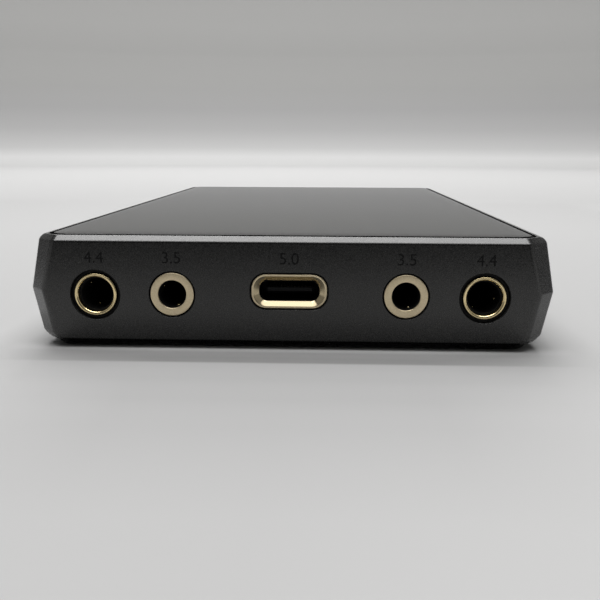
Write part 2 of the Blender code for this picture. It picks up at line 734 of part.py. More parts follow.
def make_fixings(brass, steel):
    """Threaded standoffs hang the main board from the housing, and screws hold the audio board to them."""
    count = PLAIN_COUNT
    bottom = audio_top_z + SEAT
    top = main_z - SEAT
    thread = circle(STUD_RADIUS + FIT, count)
    pillar = circle(STANDOFF_RADIUS, count)
    stud = circle(STUD_RADIUS, count)
    head = circle(SCREW_HEAD_RADIUS, count)
    head_top = audio_z - SEAT
    tip = head_top + SCREW_LENGTH
    standoff_rings = (
        across_z(thread, tip + FIT),
        across_z(thread, bottom),
        across_z(pillar, bottom),
        across_z(pillar, top),
        across_z(stud, top),
        across_z(stud, main_top_z + STUD_GRIP),
    )
    screw_rings = (
        across_z(head, head_top - SCREW_HEAD),
        across_z(head, head_top),
        across_z(stud, head_top),
        across_z(stud, tip),
    )
    for place, x, y in STANDOFF_PLACES:
        loft("standoff_" + place, standoff_rings, brass, at=(x, y, 0))
        loft("audio_screw_" + place, screw_rings, steel, at=(x, y, 0))


# Battery

def make_battery(pouch, lead):
    """A pouch cell bonded under the mid-plate, with its protection circuit and the lead to the main board."""
    front = board_back_y + BATTERY_GAP + BATTERY_CAP_LENGTH
    back = cavity_length - BATTERY_GAP
    half_u = rail_inner - BATTERY_GAP
    half_v = (back - front) / 2
    middle = (front + back) / 2
    low = -BATTERY_THICK
    rings = [
        across_z(rounded(half_u - inset, half_v - inset, BATTERY_ROUND), z)
        for inset, z in (
            (BATTERY_ROUND / 2, low), (0.0, low + BATTERY_ROUND), (0.0, -BATTERY_ROUND), (BATTERY_ROUND / 2, 0.0),
        )
    ]
    cell = loft("battery", rings, pouch, at=(0, middle, ceiling_z - SEAT))
    cap_half = half_u - BATTERY_CAP_LENGTH
    cap_outline = plain(cap_half, BATTERY_CAP_HEIGHT / 2, BATTERY_ROUND / 2)
    cap_z = ceiling_z - SEAT - BATTERY_THICK / 2
    cap_front = front - BATTERY_CAP_LENGTH
    cap = cutters("battery_cap", lengthwise(cap_outline, cap_front, front + BATTERY_ROUND * 2, 0.0, cap_z))
    combine(cell, cap, 'UNION')

    x = (CONNECTOR_WIDTH / 2 + standoff_x) / 2
    top = main_z - SEAT
    face = cap_front - SEAT
    tip = board_back_y - LEAD_REACH
    bend = (
        (face, cap_z), (face, top), (tip, top), (tip, top - FLEX_THICK),
        (face - FLEX_THICK, top - FLEX_THICK), (face - FLEX_THICK, cap_z),
    )
    loft("battery_lead", [across_x(bend, u) for u in (-LEAD_WIDTH / 2, LEAD_WIDTH / 2)], lead, at=(x, 0, 0))


# Sockets in the end panel, with depths measured inwards from the panel

def make_jack(name, place, ring_finish, body_finish, mouth, lip_back, ring_wall, liner, half_u, length, collar):
    """A turned metal ring in a moulded body, whose liner reaches forward to the ring's lip. The mouth is the
    ring's front as (radius, depth), from its outer edge inwards. A collar on the body fills the panel's hole
    round a small ring."""
    body_front = END_WALL + SEAT
    ring_back = body_front + RING_SEAT
    ring_radius = max(radius for radius, depth in mouth)
    bore_radius = mouth[-1][0]
    inner_radius = ring_radius - ring_wall
    back = ((bore_radius, lip_back), (inner_radius, lip_back), (inner_radius, ring_back), (ring_radius, ring_back))
    rings = [across_y(circle(radius), y) for radius, y in mouth + back]
    loft(name + "_ring", rings, ring_finish, at=place, closed=True)

    socket = ring_radius + FIT
    half_height = place[2] - audio_top_z - SEAT
    top_cut = (half_height - (ceiling_z - JACK_TOP_GAP - place[2])) / 2
    outline = rounded(half_u, half_height - top_cut, JACK_ROUND, -top_cut)
    rings = [across_y(outline, body_front + length), across_y(outline, body_front)]
    if collar:
        rings += [across_y(circle(collar), body_front), across_y(circle(collar), COLLAR_RECESS)]
        rings.append(across_y(circle(socket), COLLAR_RECESS))
    else:
        rings.append(across_y(circle(socket), body_front))
    rings.append(across_y(circle(socket), ring_back + FIT))
    rings.append(across_y(circle(inner_radius - FIT), ring_back + FIT))
    rings.append(across_y(circle(inner_radius - FIT), lip_back + FIT))
    rings.append(across_y(circle(liner / 2), lip_back + FIT))
    rings.append(across_y(circle(liner / 2), body_front + length - JACK_BACK_WALL))
    loft(name + "_body", rings, body_finish, at=place)


def make_jacks(gold, champagne, moulding):
    outer = JACK44_RING / 2
    lip = JACK44_BORE / 2
    opening = lip + JACK44_MOUTH
    lip_front = JACK44_RECESS + JACK44_STEP
    mouth44 = (
        (outer, JACK44_RECESS + RING_EDGE), (outer - RING_EDGE, JACK44_RECESS),
        (opening + JACK44_BEVEL, JACK44_RECESS), (opening, JACK44_RECESS + JACK44_BEVEL),
        (opening, lip_front), (lip, lip_front + JACK44_MOUTH),
    )
    for name, side in JACK44_SIDES:
        make_jack(
            name, (side * jack44_x + JACK_SHIFT, panel_y, jack44_z), gold, moulding, mouth44, lip_front + JACK44_LIP,
            JACK44_WALL, JACK44_LINER, jack44_half, JACK44_LENGTH, JACK44_HOLE / 2 - FIT,
        )
    outer = JACK35_RING / 2
    bore = JACK35_BORE / 2
    mouth35 = (
        (outer, JACK35_RECESS + RING_EDGE), (outer - RING_EDGE, JACK35_RECESS),
        (bore + JACK35_BORE_EDGE, JACK35_RECESS), (bore, JACK35_RECESS + JACK35_BORE_EDGE),
    )
    for name, side in JACK35_SIDES:
        make_jack(
            name, (side * jack35_x + JACK_SHIFT, panel_y, jack35_z), champagne, moulding, mouth35, JACK35_RECESS + JACK35_LIP,
            JACK35_WALL, JACK35_LINER, jack35_half, JACK35_LENGTH, None,
        )


def make_usb(gold, nickel, moulding):
    """A bevelled trim in the panel, and behind it the shell with its tongue."""
    place = (0, panel_y, usb_z)
    half_u = USB_MOUTH_WIDTH / 2
    half_v = USB_MOUTH_HEIGHT / 2
    rim_half_u = TRIM_WIDTH / 2 - TRIM_RIM
    rim_half_v = TRIM_HEIGHT / 2 - TRIM_RIM
    outer = rounded(TRIM_WIDTH / 2, TRIM_HEIGHT / 2, TRIM_RADIUS)
    crown = rounded(TRIM_WIDTH / 2 - TRIM_EDGE, TRIM_HEIGHT / 2 - TRIM_EDGE, TRIM_RADIUS - TRIM_EDGE)
    rim = rounded(rim_half_u, rim_half_v, TRIM_RADIUS - TRIM_RIM)
    mouth = rounded(half_u, half_v, USB_MOUTH_RADIUS)
    bevel_y = TRIM_RECESS + TRIM_BEVEL_DEPTH
    rings = (
        across_y(crown, TRIM_RECESS), across_y(outer, TRIM_RECESS + TRIM_EDGE), across_y(outer, TRIM_DEPTH),
        across_y(mouth, TRIM_DEPTH), across_y(mouth, bevel_y), across_y(rim, TRIM_RECESS),
    )
    loft("usb_trim", rings, gold, at=place, closed=True)

    shell_front = TRIM_DEPTH + SEAT
    shell_back = shell_front + USB_LENGTH
    shell = rounded(half_u + USB_WALL, half_v + USB_WALL, USB_MOUTH_RADIUS + USB_WALL)
    rings = (
        across_y(shell, shell_back), across_y(shell, shell_front),
        across_y(mouth, shell_front), across_y(mouth, shell_back - USB_WALL),
    )
    loft("usb_shell", rings, nickel, at=place)

    base = rounded(half_u - FIT, half_v - FIT, USB_MOUTH_RADIUS - FIT)
    blade = rounded(USB_TONGUE_WIDTH / 2, USB_TONGUE_THICK / 2, USB_TONGUE_THICK / 4)
    base_back = shell_back - USB_WALL - FIT
    base_front = base_back - USB_BASE_LENGTH
    tip = shell_front + USB_TONGUE_INSET
    tip_half_u = USB_TONGUE_WIDTH / 2 - USB_TONGUE_SLIM
    tip_half_v = USB_TONGUE_THICK / 2 - USB_TONGUE_SLIM
    nose = rounded(tip_half_u, tip_half_v, tip_half_v / 2)
    rings = (
        across_y(base, base_back), across_y(base, base_front), across_y(blade, base_front),
        across_y(blade, tip + USB_TONGUE_NOSE), across_y(nose, tip),
    )
    loft("usb_tongue", rings, moulding, at=place)


# Side keys and tray, built with +X outwards on an empty at the ridge of their side

def leaning(outline, proud):
    """A ring whose two halves lean in like the housing's side, above and below the ridge."""
    ring = []
    for u, v in outline:
        slope = slope_above if v > 0 else slope_below
        ring.append((proud - slope * abs(v), u, v))
    return ring


def capped_bar(length, height, edge, proud):
    """The two last rings of a bar that ends in the housing's own two slopes, with its edge broken."""
    full = stadium(length / 2, height / 2)
    inset = stadium(length / 2 - edge, height / 2 - edge)
    return [leaning(full, proud - edge), leaning(inset, proud)]


def make_key(name, length, place, side_place, cap_finish, moulding):
    """A key with a flange behind the wall, the plunger it presses and the switch that holds the plunger."""
    flange = stadium(length / 2 + KEY_LIP, KEY_HEIGHT / 2 + KEY_LIP)
    shaft = stadium(length / 2, KEY_HEIGHT / 2)
    nub = stadium(KEY_NUB_LENGTH / 2, KEY_NUB_HEIGHT / 2)
    at = (0, place, 0)
    rings = [
        across_x(nub, -nub_depth - KEY_NUB), across_x(nub, -nub_depth),
        across_x(flange, -nub_depth), across_x(flange, -flange_depth), across_x(shaft, -flange_depth),
    ]
    rings += capped_bar(length, KEY_HEIGHT, KEY_EDGE, KEY_PROUD)
    loft(name + "_key", rings, cap_finish, at, side_place, tipped=True)

    pin = circle(PLUNGER_RADIUS, PLAIN_COUNT)
    plunger_end = switch_depth + PLUNGER_HOLD
    rings = [across_x(pin, -plunger_end), across_x(pin, -plunger_depth)]
    loft(name + "_plunger", rings, moulding, at, side_place)

    case = plain(SWITCH_LENGTH / 2, SWITCH_HEIGHT / 2, SWITCH_ROUND)
    well = circle(PLUNGER_RADIUS + FIT, PLAIN_COUNT)
    rings = [
        across_x(case, -switch_depth - SWITCH_THICK), across_x(case, -switch_depth),
        across_x(well, -switch_depth), across_x(well, -plunger_end - KEY_TRAVEL - FIT),
    ]
    loft(name + "_switch", rings, moulding, at, side_place)


def make_keys(cap_finish, moulding, laminate):
    places = {}
    for name, side in (("left", LEFT), ("right", RIGHT)):
        turn = math.pi if side == LEFT else 0.0
        places[side] = empty(name + "_side", (side * half_width, key_row_y, ridge_z), turn)
        low = ridge_z - KEY_BOARD_DROP
        height = ceiling_z - SEAT - low
        outline = plain(KEY_BOARD_THICK / 2, key_row_half, KEY_BOARD_THICK / 4)
        x = side * (half_width - key_board_depth - KEY_BOARD_THICK / 2)
        loft(name + "_key_board", upright(outline, 0.0, height), laminate, at=(x, key_row_middle, low))
    for name, side, place, length in KEYS:
        make_key(name, length, side * place * KEY_PITCH, places[side], cap_finish, moulding)


def make_tray(cap_finish, steel):
    """A card tray whose door closes a slot in the left side, and the socket that its blade slides into."""
    bay = empty("card_bay", (-half_width, board_middle_y, ridge_z), math.pi)
    door = stadium(DOOR_LENGTH / 2, DOOR_HEIGHT / 2)
    rings = [across_x(door, -DOOR_THICK)] + capped_bar(DOOR_LENGTH, DOOR_HEIGHT, KEY_EDGE, 0.0)
    tray = loft("card_tray", rings, cap_finish, parent=bay, tipped=True)
    blade_tip = DOOR_THICK + BLADE_LENGTH
    blade = plain(BLADE_WIDTH / 2, BLADE_THICK / 2, BLADE_THICK / 4)
    rings = [across_x(blade, -blade_tip), across_x(blade, -DOOR_THICK / 2)]
    combine(tray, loft("tray_blade", rings, parent=bay), 'UNION')

    card_back = -blade_tip + CARD_INSET
    card = plain(CARD_LENGTH / 2, CARD_WIDTH / 2, BLADE_THICK / 2)
    seat_floor = BLADE_THICK / 2 - CARD_DEPTH
    seat = shifted(upright(card, seat_floor, BLADE_THICK), card_back + CARD_LENGTH / 2, 0.0)
    combine(tray, loft("card_seat", seat, parent=bay))
    pin = circle(PIN_HOLE_RADIUS, PLAIN_COUNT)
    pin_y = DOOR_LENGTH / 2 - PIN_HOLE_INSET
    hole = shifted([across_x(pin, x) for x in (-DOOR_THICK - OVERRUN, OVERRUN)], 0.0, pin_y)
    combine(tray, loft("pin_hole", hole, parent=bay))

    front = -(SIDE_WALL + SEAT)
    back = -(blade_tip + FIT + SOCKET_BACK)
    roof = main_z - SEAT - ridge_z
    floor = BLADE_THICK / 2 + FIT + SOCKET_WALL
    outer = plain(
        BLADE_WIDTH / 2 + FIT + SOCKET_WALL, (roof + floor) / 2, SOCKET_WALL, (roof - floor) / 2,
    )
    inner = plain(BLADE_WIDTH / 2 + FIT, BLADE_THICK / 2 + FIT, BLADE_THICK / 4)
    rings = (
        across_x(outer, back), across_x(outer, front),
        across_x(inner, front), across_x(inner, -(blade_tip + FIT)),
    )
    loft("card_socket", rings, steel, parent=bay)


def main():
    for old in list(bpy.data.objects):
        bpy.data.objects.remove(old, do_unlink=True)

    anodised = finish("anodised_grey", (0.055, 0.055, 0.058), 0.42, 1.0)
    gold = finish("gold_plate", (0.83, 0.60, 0.29), 0.22, 1.0)
    champagne = finish("champagne_anodised", (0.72, 0.56, 0.40), 0.32, 1.0)
    black_glass = finish("black_glass", (0.01, 0.01, 0.011), 0.06, 0.0)
    clear_glass = finish("cover_glass", (0.012, 0.013, 0.013), 0.04, 0.0)
    rubber = finish("black_rubber", (0.012, 0.012, 0.012), 0.7, 0.0)
    moulding = finish("black_moulding", (0.015, 0.015, 0.016), 0.5, 0.0)
    laminate = finish("board_laminate", (0.01, 0.05, 0.03), 0.5, 0.0)
    tin = finish("tin_plate", (0.62, 0.62, 0.60), 0.35, 1.0)
    nickel = finish("dark_nickel", (0.04, 0.04, 0.042), 0.4, 1.0)
    brass = finish("brass", (0.72, 0.52, 0.22), 0.35, 1.0)
    pouch = finish("pouch_foil", (0.10, 0.10, 0.11), 0.4, 0.0)
    flex = finish("flex_film", (0.30, 0.13, 0.03), 0.4, 0.0)
    pad = finish("thermal_pad", (0.35, 0.42, 0.48), 0.8, 0.0)

    make_chassis(anodised)
    make_screen(clear_glass, rubber, black_glass, flex)
    make_rear(black_glass, rubber, flex)
    make_main_board(laminate, tin, pad)
    make_audio_board(laminate, tin, moulding)
    make_fixings(brass, tin)
    make_battery(pouch, flex)
    make_jacks(gold, champagne, moulding)
    make_usb(champagne, nickel, moulding)
    make_keys(anodised, moulding, laminate)
    make_tray(anodised, tin)


main()
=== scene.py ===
# %% [markdown]
# # A pocket audio player for a product shot
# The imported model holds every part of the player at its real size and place. This lesson
# keeps that model as a fixed frame, swaps the parts that the eye meets for finer meshes,
# gives every part a finish made of shader nodes, and lights it like a small studio table.
# Lengths are in metres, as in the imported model, and MM keeps the numbers readable.

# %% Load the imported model
import math
import bmesh
import bpy
from mathutils import Matrix, Vector


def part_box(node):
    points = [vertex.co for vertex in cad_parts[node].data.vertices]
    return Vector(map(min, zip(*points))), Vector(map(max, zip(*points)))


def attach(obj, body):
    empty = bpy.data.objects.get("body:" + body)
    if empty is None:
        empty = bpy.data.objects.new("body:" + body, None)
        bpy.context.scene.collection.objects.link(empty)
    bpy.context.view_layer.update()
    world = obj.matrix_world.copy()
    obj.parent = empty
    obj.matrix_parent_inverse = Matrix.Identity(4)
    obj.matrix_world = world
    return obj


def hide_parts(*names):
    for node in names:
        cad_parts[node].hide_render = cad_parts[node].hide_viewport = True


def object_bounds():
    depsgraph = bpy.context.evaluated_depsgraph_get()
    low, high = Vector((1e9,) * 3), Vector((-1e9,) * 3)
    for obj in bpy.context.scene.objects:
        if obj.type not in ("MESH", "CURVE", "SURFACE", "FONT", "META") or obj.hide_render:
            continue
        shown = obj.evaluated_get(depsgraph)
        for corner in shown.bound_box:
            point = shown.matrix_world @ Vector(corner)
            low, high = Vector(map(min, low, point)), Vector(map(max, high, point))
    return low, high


MM = 0.001
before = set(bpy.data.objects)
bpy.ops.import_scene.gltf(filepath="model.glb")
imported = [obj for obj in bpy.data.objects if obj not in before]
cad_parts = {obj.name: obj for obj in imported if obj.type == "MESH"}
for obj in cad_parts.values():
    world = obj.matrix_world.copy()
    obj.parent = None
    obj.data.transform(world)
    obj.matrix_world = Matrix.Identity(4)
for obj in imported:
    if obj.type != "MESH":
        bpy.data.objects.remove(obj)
cad_low, cad_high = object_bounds()
scene = bpy.context.scene
print("packed box in mm:", [round((b - a) / MM, 2) for a, b in zip(cad_low, cad_high)])

# %% [markdown]
# ## Camera
# The picture was taken from very near, just above the table, in front of the socket panel.
# A camera could be aimed by eye, but a near view changes fast with every millimetre. So the
# place, the three angles and the focal length come from matching known edges of the panel,
# and the camera's matrix is built from those angles: turn, then tilt, then roll.

# %% Place the camera
CAMERA_PLACE = Vector((5.271, -171.296, 28.204)) * MM
CAMERA_TURN = math.radians(2.0217)
CAMERA_TILT = math.radians(11.1966)
CAMERA_ROLL = math.radians(0.2162)

camera = bpy.data.objects.new("camera", bpy.data.cameras.new("camera"))
camera.data.sensor_width = 36.0
camera.data.lens = 46.97
camera.data.clip_start = 5 * MM
camera.data.clip_end = 10.0
turn = Matrix.Rotation(CAMERA_TURN, 4, "Z")
tilt = Matrix.Rotation(math.pi / 2 - CAMERA_TILT, 4, "X")
roll = Matrix.Rotation(CAMERA_ROLL, 4, "Z")
camera.matrix_world = Matrix.Translation(CAMERA_PLACE) @ turn @ tilt @ roll
scene.collection.objects.link(camera)
scene.camera = camera
scene.view_settings.view_transform = "Standard"
print("camera", [round(c / MM, 1) for c in CAMERA_PLACE], "mm")

# %% [markdown]
# ## Shader building blocks
# Every finish below is a Principled shader fed by procedural nodes. A few small helpers keep
# the node code short: one adds a node and fills or links its sockets, one starts a material,
# and the rest mix and shift values. A socket that gets the same number everywhere is set on
# the shader itself.

# %% Helpers for nodes and finishes
def place(tree, kind, sockets=None, **settings):
    """Adds a shader node. A socket takes a value, or the output that feeds it."""
    node = tree.nodes.new("ShaderNode" + kind)
    for name, value in settings.items():
        setattr(node, name, value)
    for name, value in (sockets or {}).items():
        if isinstance(value, bpy.types.NodeSocket):
            tree.links.new(value, node.inputs[name])
        else:
            node.inputs[name].default_value = value
    return node


def start_finish(name, **values):
    """A new material, its node tree and its Principled shader with these plain values."""
    material = bpy.data.materials.new(name)
    material.use_nodes = True
    tree = material.node_tree
    shader = tree.nodes["Principled BSDF"]
    for label, value in values.items():
        shader.inputs[label.replace("_", " ")].default_value = value
    return material, tree, shader


def feed(tree, shader, colour, rough):
    tree.links.new(colour, shader.inputs["Base Color"])
    tree.links.new(rough, shader.inputs["Roughness"])


def blend(tree, mask, low, high):
    """A colour that goes from low to high as the mask goes from 0 to 1."""
    sockets = {"Factor": mask, 6: low, 7: high}
    return place(tree, "Mix", sockets, data_type="RGBA").outputs[2]


def spread(tree, value, low, high, start=0.0, end=1.0):
    """A value moved from the range start to end into the range low to high."""
    sockets = {"Value": value, 1: start, 2: end, 3: low, 4: high}
    return place(tree, "MapRange", sockets).outputs["Result"]


def times(tree, first, second):
    return place(tree, "Math", {0: first, 1: second}, operation="MULTIPLY").outputs[0]


def plus(tree, first, second):
    return place(tree, "Math", {0: first, 1: second}, operation="ADD").outputs[0]


print("helpers ready")

# %% [markdown]
# ## Shared surface effects
# Blasted metal, moulded plastic and rubber all have a fine grain, handled edges lose a
# little of their colour, and everything that lies on a table gathers dust. Each effect is
# made once as a node group with named sockets, and each finish sets its own amounts. The
# groups only give out masks and heights; the shaders stay in the materials.

# %% Start a node group
def start_group(name, inputs, outputs):
    group = bpy.data.node_groups.new(name, "ShaderNodeTree")
    for label, value in inputs.items():
        socket = group.interface.new_socket(label, in_out="INPUT", socket_type="NodeSocketFloat")
        socket.default_value = value
    for label in outputs:
        group.interface.new_socket(label, in_out="OUTPUT", socket_type="NodeSocketFloat")
    entry = group.nodes.new("NodeGroupInput")
    exit_node = group.nodes.new("NodeGroupOutput")
    return group, entry.outputs, exit_node.inputs


def object_point(tree):
    return place(tree, "TexCoord").outputs["Object"]


def noise(tree, scale, detail=2.0, roughness=0.55, distortion=0.0):
    sockets = {
        "Vector": object_point(tree), "Scale": scale, "Detail": detail,
        "Roughness": roughness, "Distortion": distortion,
    }
    return place(tree, "TexNoise", sockets).outputs["Fac"]


print("group helpers ready")

# %% Grain of a blasted or moulded skin
def make_grain_group():
    """Height of a fine pebbled skin, and a mask of the brighter grains in it."""
    group, given, out = start_group("fine_grain", {"Scale": 4000.0}, ("Height", "Sparkle"))
    fine = noise(group, given["Scale"], 1.0, 0.5)
    broad = noise(group, times(group, given["Scale"], 0.55), 1.0)
    height = place(group, "Math", {0: broad, 1: 0.3, 2: fine}, operation="MULTIPLY_ADD")
    group.links.new(height.outputs[0], out["Height"])
    group.links.new(spread(group, fine, 0.0, 1.0, 0.3, 0.7), out["Sparkle"])
    return group


GRAIN = make_grain_group()
print("group:", GRAIN.name)

# %% Worn edges
def make_wear_group():
    """A mask that is high on rounded edges, where hands and pockets rub."""
    group, given, out = start_group("edge_wear", {"Amount": 0.5, "Scale": 700.0}, ("Wear",))
    rounded_edge = place(group, "Attribute", attribute_name="edge").outputs["Fac"]
    patches = spread(group, noise(group, given["Scale"], 3.0), 0.0, 1.0, 0.42, 0.68)
    rubbed = times(group, rounded_edge, patches)
    group.links.new(times(group, rubbed, given["Amount"]), out["Wear"])
    return group


WEAR = make_wear_group()
print("group:", WEAR.name)

# %% Settled dust
def make_dust_group():
    """A mask of a thin film and a few specks on faces that look up."""
    group, given, out = start_group("settled_dust", {"Amount": 0.3, "Scale": 900.0}, ("Dust",))
    normal = place(group, "NewGeometry").outputs["Normal"]
    upward = place(group, "SeparateXYZ", {"Vector": normal}).outputs["Z"]
    lying = spread(group, upward, 0.0, 1.0, 0.35, 0.95)
    film = spread(group, noise(group, 130.0, 4.0), 0.0, 0.25, 0.4, 0.75)
    sockets = {"Vector": object_point(group), "Scale": given["Scale"]}
    cells = place(group, "TexVoronoi", sockets).outputs["Distance"]
    speck = spread(group, cells, 1.0, 0.0, 0.05, 0.11)
    rare = spread(group, noise(group, 260.0, 1.0), 0.0, 1.0, 0.6, 0.64)
    specks = times(group, speck, rare)
    both = place(group, "Math", {0: film, 1: specks}, operation="MAXIMUM").outputs[0]
    settled = times(group, times(group, both, lying), given["Amount"])
    group.links.new(settled, out["Dust"])
    return group


DUST = make_dust_group()
print("group:", DUST.name)

# %% Finger smudges
def make_smudge_group():
    """A roughness that wanders between two values, as finger marks make it."""
    inputs = {"Clean": 0.03, "Smudged": 0.12, "Scale": 60.0}
    group, given, out = start_group("finger_smudge", inputs, ("Roughness",))
    marks = spread(group, noise(group, given["Scale"], 4.0, 0.6, 0.8), 0.0, 1.0, 0.45, 0.7)
    mixed = spread(group, marks, given["Clean"], given["Smudged"])
    group.links.new(mixed, out["Roughness"])
    return group


SMUDGE = make_smudge_group()
print("group:", SMUDGE.name)

# %% Put a group to use in a finish
def use_group(tree, group, **sockets):
    return place(tree, "Group", sockets, node_tree=group).outputs


def emboss(tree, shader, height, strength, depth):
    """Lets a height tilt the surface, by up to a depth in metres."""
    sockets = {"Height": height, "Strength": strength, "Distance": depth}
    bump = place(tree, "Bump", sockets)
    tree.links.new(bump.outputs["Normal"], shader.inputs["Normal"])


print("groups:", [group.name for group in bpy.data.node_groups])

# %% [markdown]
# ## Housing finish
# The housing is aluminium, blasted with fine beads and then dyed a dark grey in the
# anodising bath. It could be a plain grey metal, but the light strip along the top edge
# shows the grain. So the grain tilts the surface and changes its roughness a little, the
# dye is a touch uneven, and the keys and the card tray, which have the same finish, are
# slightly paler on their rounded edges, where they rub.

# %% Blasted and dyed aluminium
def anodised_finish():
    material, tree, shader = start_finish("anodised_grey", Metallic=1.0)
    grain = use_group(tree, GRAIN, Scale=4300.0)
    worn = use_group(tree, WEAR, Amount=0.25)["Wear"]
    dust = use_group(tree, DUST, Amount=0.06)["Dust"]
    dyed = blend(tree, grain["Sparkle"], (0.059, 0.0588, 0.0585, 1), (0.074, 0.0737, 0.073, 1))
    rubbed = blend(tree, worn, dyed, (0.24, 0.235, 0.23, 1))
    dusty = blend(tree, dust, rubbed, (0.50, 0.49, 0.47, 1))
    feed(tree, shader, dusty, spread(tree, grain["Sparkle"], 0.23, 0.30))
    emboss(tree, shader, grain["Height"], 0.06, 0.03 * MM)
    return material


ANODISED = anodised_finish()
print("finish:", ANODISED.name)

# %% [markdown]
# ## Socket metals
# The larger jacks carry bright gold-plated rings, and the smaller jacks and the charging
# socket are trimmed in champagne anodised metal. Both are metals with a coloured base. The
# plating is nearly polished. The champagne parts keep a satin grain, except where a cutter
# went over them last: faces marked "polish" are darker, and lose most of their roughness
# and grain.

# %% Gold plate and champagne metal
def gold_finish():
    material, tree, shader = start_finish("gold_plate", Metallic=1.0)
    grain = use_group(tree, GRAIN, Scale=2600.0)
    tone = blend(tree, grain["Sparkle"], (0.85, 0.69, 0.38, 1), (0.94, 0.78, 0.462, 1))
    rough = use_group(tree, SMUDGE, Clean=0.19, Smudged=0.26, Scale=900.0)["Roughness"]
    feed(tree, shader, tone, rough)
    emboss(tree, shader, grain["Height"], 0.05, 0.02 * MM)
    return material


def champagne_finish():
    material, tree, shader = start_finish("champagne_anodised", Metallic=1.0)
    grain = use_group(tree, GRAIN, Scale=4800.0)
    tone = blend(tree, grain["Sparkle"], (0.86, 0.722, 0.475, 1), (0.96, 0.817, 0.565, 1))
    polish = place(tree, "Attribute", attribute_name="polish").outputs["Fac"]
    cut = blend(tree, polish, tone, (0.48, 0.402, 0.262, 1))
    satin = spread(tree, grain["Sparkle"], 0.33, 0.41)
    feed(tree, shader, cut, spread(tree, polish, satin, 0.15))
    height = times(tree, grain["Height"], spread(tree, polish, 1.0, 0.1))
    emboss(tree, shader, height, 0.14, 0.02 * MM)
    return material


GOLD = gold_finish()
CHAMPAGNE = champagne_finish()
print("finishes:", GOLD.name, CHAMPAGNE.name)

# %% [markdown]
# ## Glass
# The screen is off, so its glass is a black mirror: at a low angle it shows the backdrop
# more and more strongly towards the far end. A glass shader over a black panel would give
# the same picture at a higher cost, so both glasses are a black gloss. The front one has a
# lower index than glass, because a coat takes away part of its reflection. The display
# under it is a hair lighter than the printed border around it.

# %% Front and rear glass
SCREEN_HALF = (31.2 * MM, 57.5 * MM)


def screen_mask(tree):
    """1 over the display and 0 on the printed border."""
    parts = place(tree, "SeparateXYZ", {"Vector": object_point(tree)}).outputs
    inside = []
    for axis, half in zip("XY", SCREEN_HALF):
        away = place(tree, "Math", {0: parts[axis]}, operation="ABSOLUTE").outputs[0]
        inside.append(spread(tree, away, 1.0, 0.0, half, half + 0.1 * MM))
    return times(tree, inside[0], inside[1])


def front_glass_finish():
    material, tree, shader = start_finish("cover_glass", IOR=1.2, Specular_Tint=(0.97, 1.0, 0.99, 1))
    tone = blend(tree, screen_mask(tree), (0.0010, 0.0010, 0.0012, 1), (0.0022, 0.0023, 0.0026, 1))
    dust = use_group(tree, DUST, Amount=0.015, Scale=1100.0)["Dust"]
    rough = use_group(tree, SMUDGE, Clean=0.025, Smudged=0.055, Scale=45.0)["Roughness"]
    feed(tree, shader, blend(tree, dust, tone, (0.35, 0.34, 0.33, 1)), rough)
    return material


def black_glass_finish():
    material, tree, shader = start_finish("black_glass", IOR=1.5)
    dust = use_group(tree, DUST, Amount=0.2)["Dust"]
    worn = use_group(tree, WEAR, Amount=0.06)["Wear"]
    tone = blend(tree, worn, (0.004, 0.004, 0.0045, 1), (0.06, 0.06, 0.06, 1))
    rough = use_group(tree, SMUDGE, Clean=0.26, Smudged=0.34, Scale=70.0)["Roughness"]
    feed(tree, shader, blend(tree, dust, tone, (0.3, 0.3, 0.29, 1)), rough)
    return material


FRONT_GLASS = front_glass_finish()
BLACK_GLASS = black_glass_finish()
print("finishes:", FRONT_GLASS.name, BLACK_GLASS.name)

# %% [markdown]
# ## Rubber, mouldings and print
# The gasket round the screen is black rubber, and the linings of the socket holes, which
# paint the shade in the gaps round the rings and the trim, share its finish. The jack bodies
# and switches are black mouldings, and the sizes are printed in black ink. All three are dark
# and dull, so they differ in grain and sheen: rubber is the roughest, and ink has the finest grain.

# %% Black rubber, black moulding and ink
def dull_black(name, tone, lighter, rough, sheen, grain_scale, depth):
    material, tree, shader = start_finish(name, Metallic=0.0, Specular_IOR_Level=sheen)
    grain = use_group(tree, GRAIN, Scale=grain_scale)
    mixed = blend(tree, grain["Sparkle"], (*tone, 1), (*lighter, 1))
    feed(tree, shader, mixed, spread(tree, grain["Sparkle"], *rough))
    emboss(tree, shader, grain["Height"], 0.3, depth)
    return material


RUBBER = dull_black(
    "black_rubber", (0.008, 0.008, 0.008), (0.016, 0.016, 0.016), (0.62, 0.78), 0.2, 2500.0, 0.03 * MM,
)
MOULDING = dull_black(
    "black_moulding", (0.007, 0.007, 0.0075), (0.012, 0.012, 0.012), (0.45, 0.6), 0.12, 3500.0, 0.02 * MM,
)
INK = dull_black(
    "printed_ink", (0.006, 0.006, 0.0065), (0.010, 0.010, 0.010), (0.5, 0.62), 0.08, 5000.0, 0.005 * MM,
)
print("finishes:", RUBBER.name, MOULDING.name, INK.name)

# %% [markdown]
# ## Finishes of the inner parts
# The boards, shields, battery and fixings never show while the player is closed, but each
# still gets what the real material has: copper tracks under green lacquer, rolled tin,
# turned brass, a crinkled foil pouch, amber film with its conductors, and a soft pad.

# %% Plated metals
def plated(name, dark, light, rough, stretch):
    """A metal with fine lines along one direction, as rolling or turning leaves them."""
    material, tree, shader = start_finish(name, Metallic=1.0)
    sockets = {"Vector": object_point(tree), "Scale": stretch}
    lines = place(tree, "Mapping", sockets).outputs["Vector"]
    sockets = {"Vector": lines, "Scale": 1.0, "Detail": 3.0}
    rolled = place(tree, "TexNoise", sockets).outputs["Fac"]
    feed(tree, shader, blend(tree, rolled, (*dark, 1), (*light, 1)), spread(tree, rolled, *rough))
    emboss(tree, shader, rolled, 0.1, 0.02 * MM)
    return material


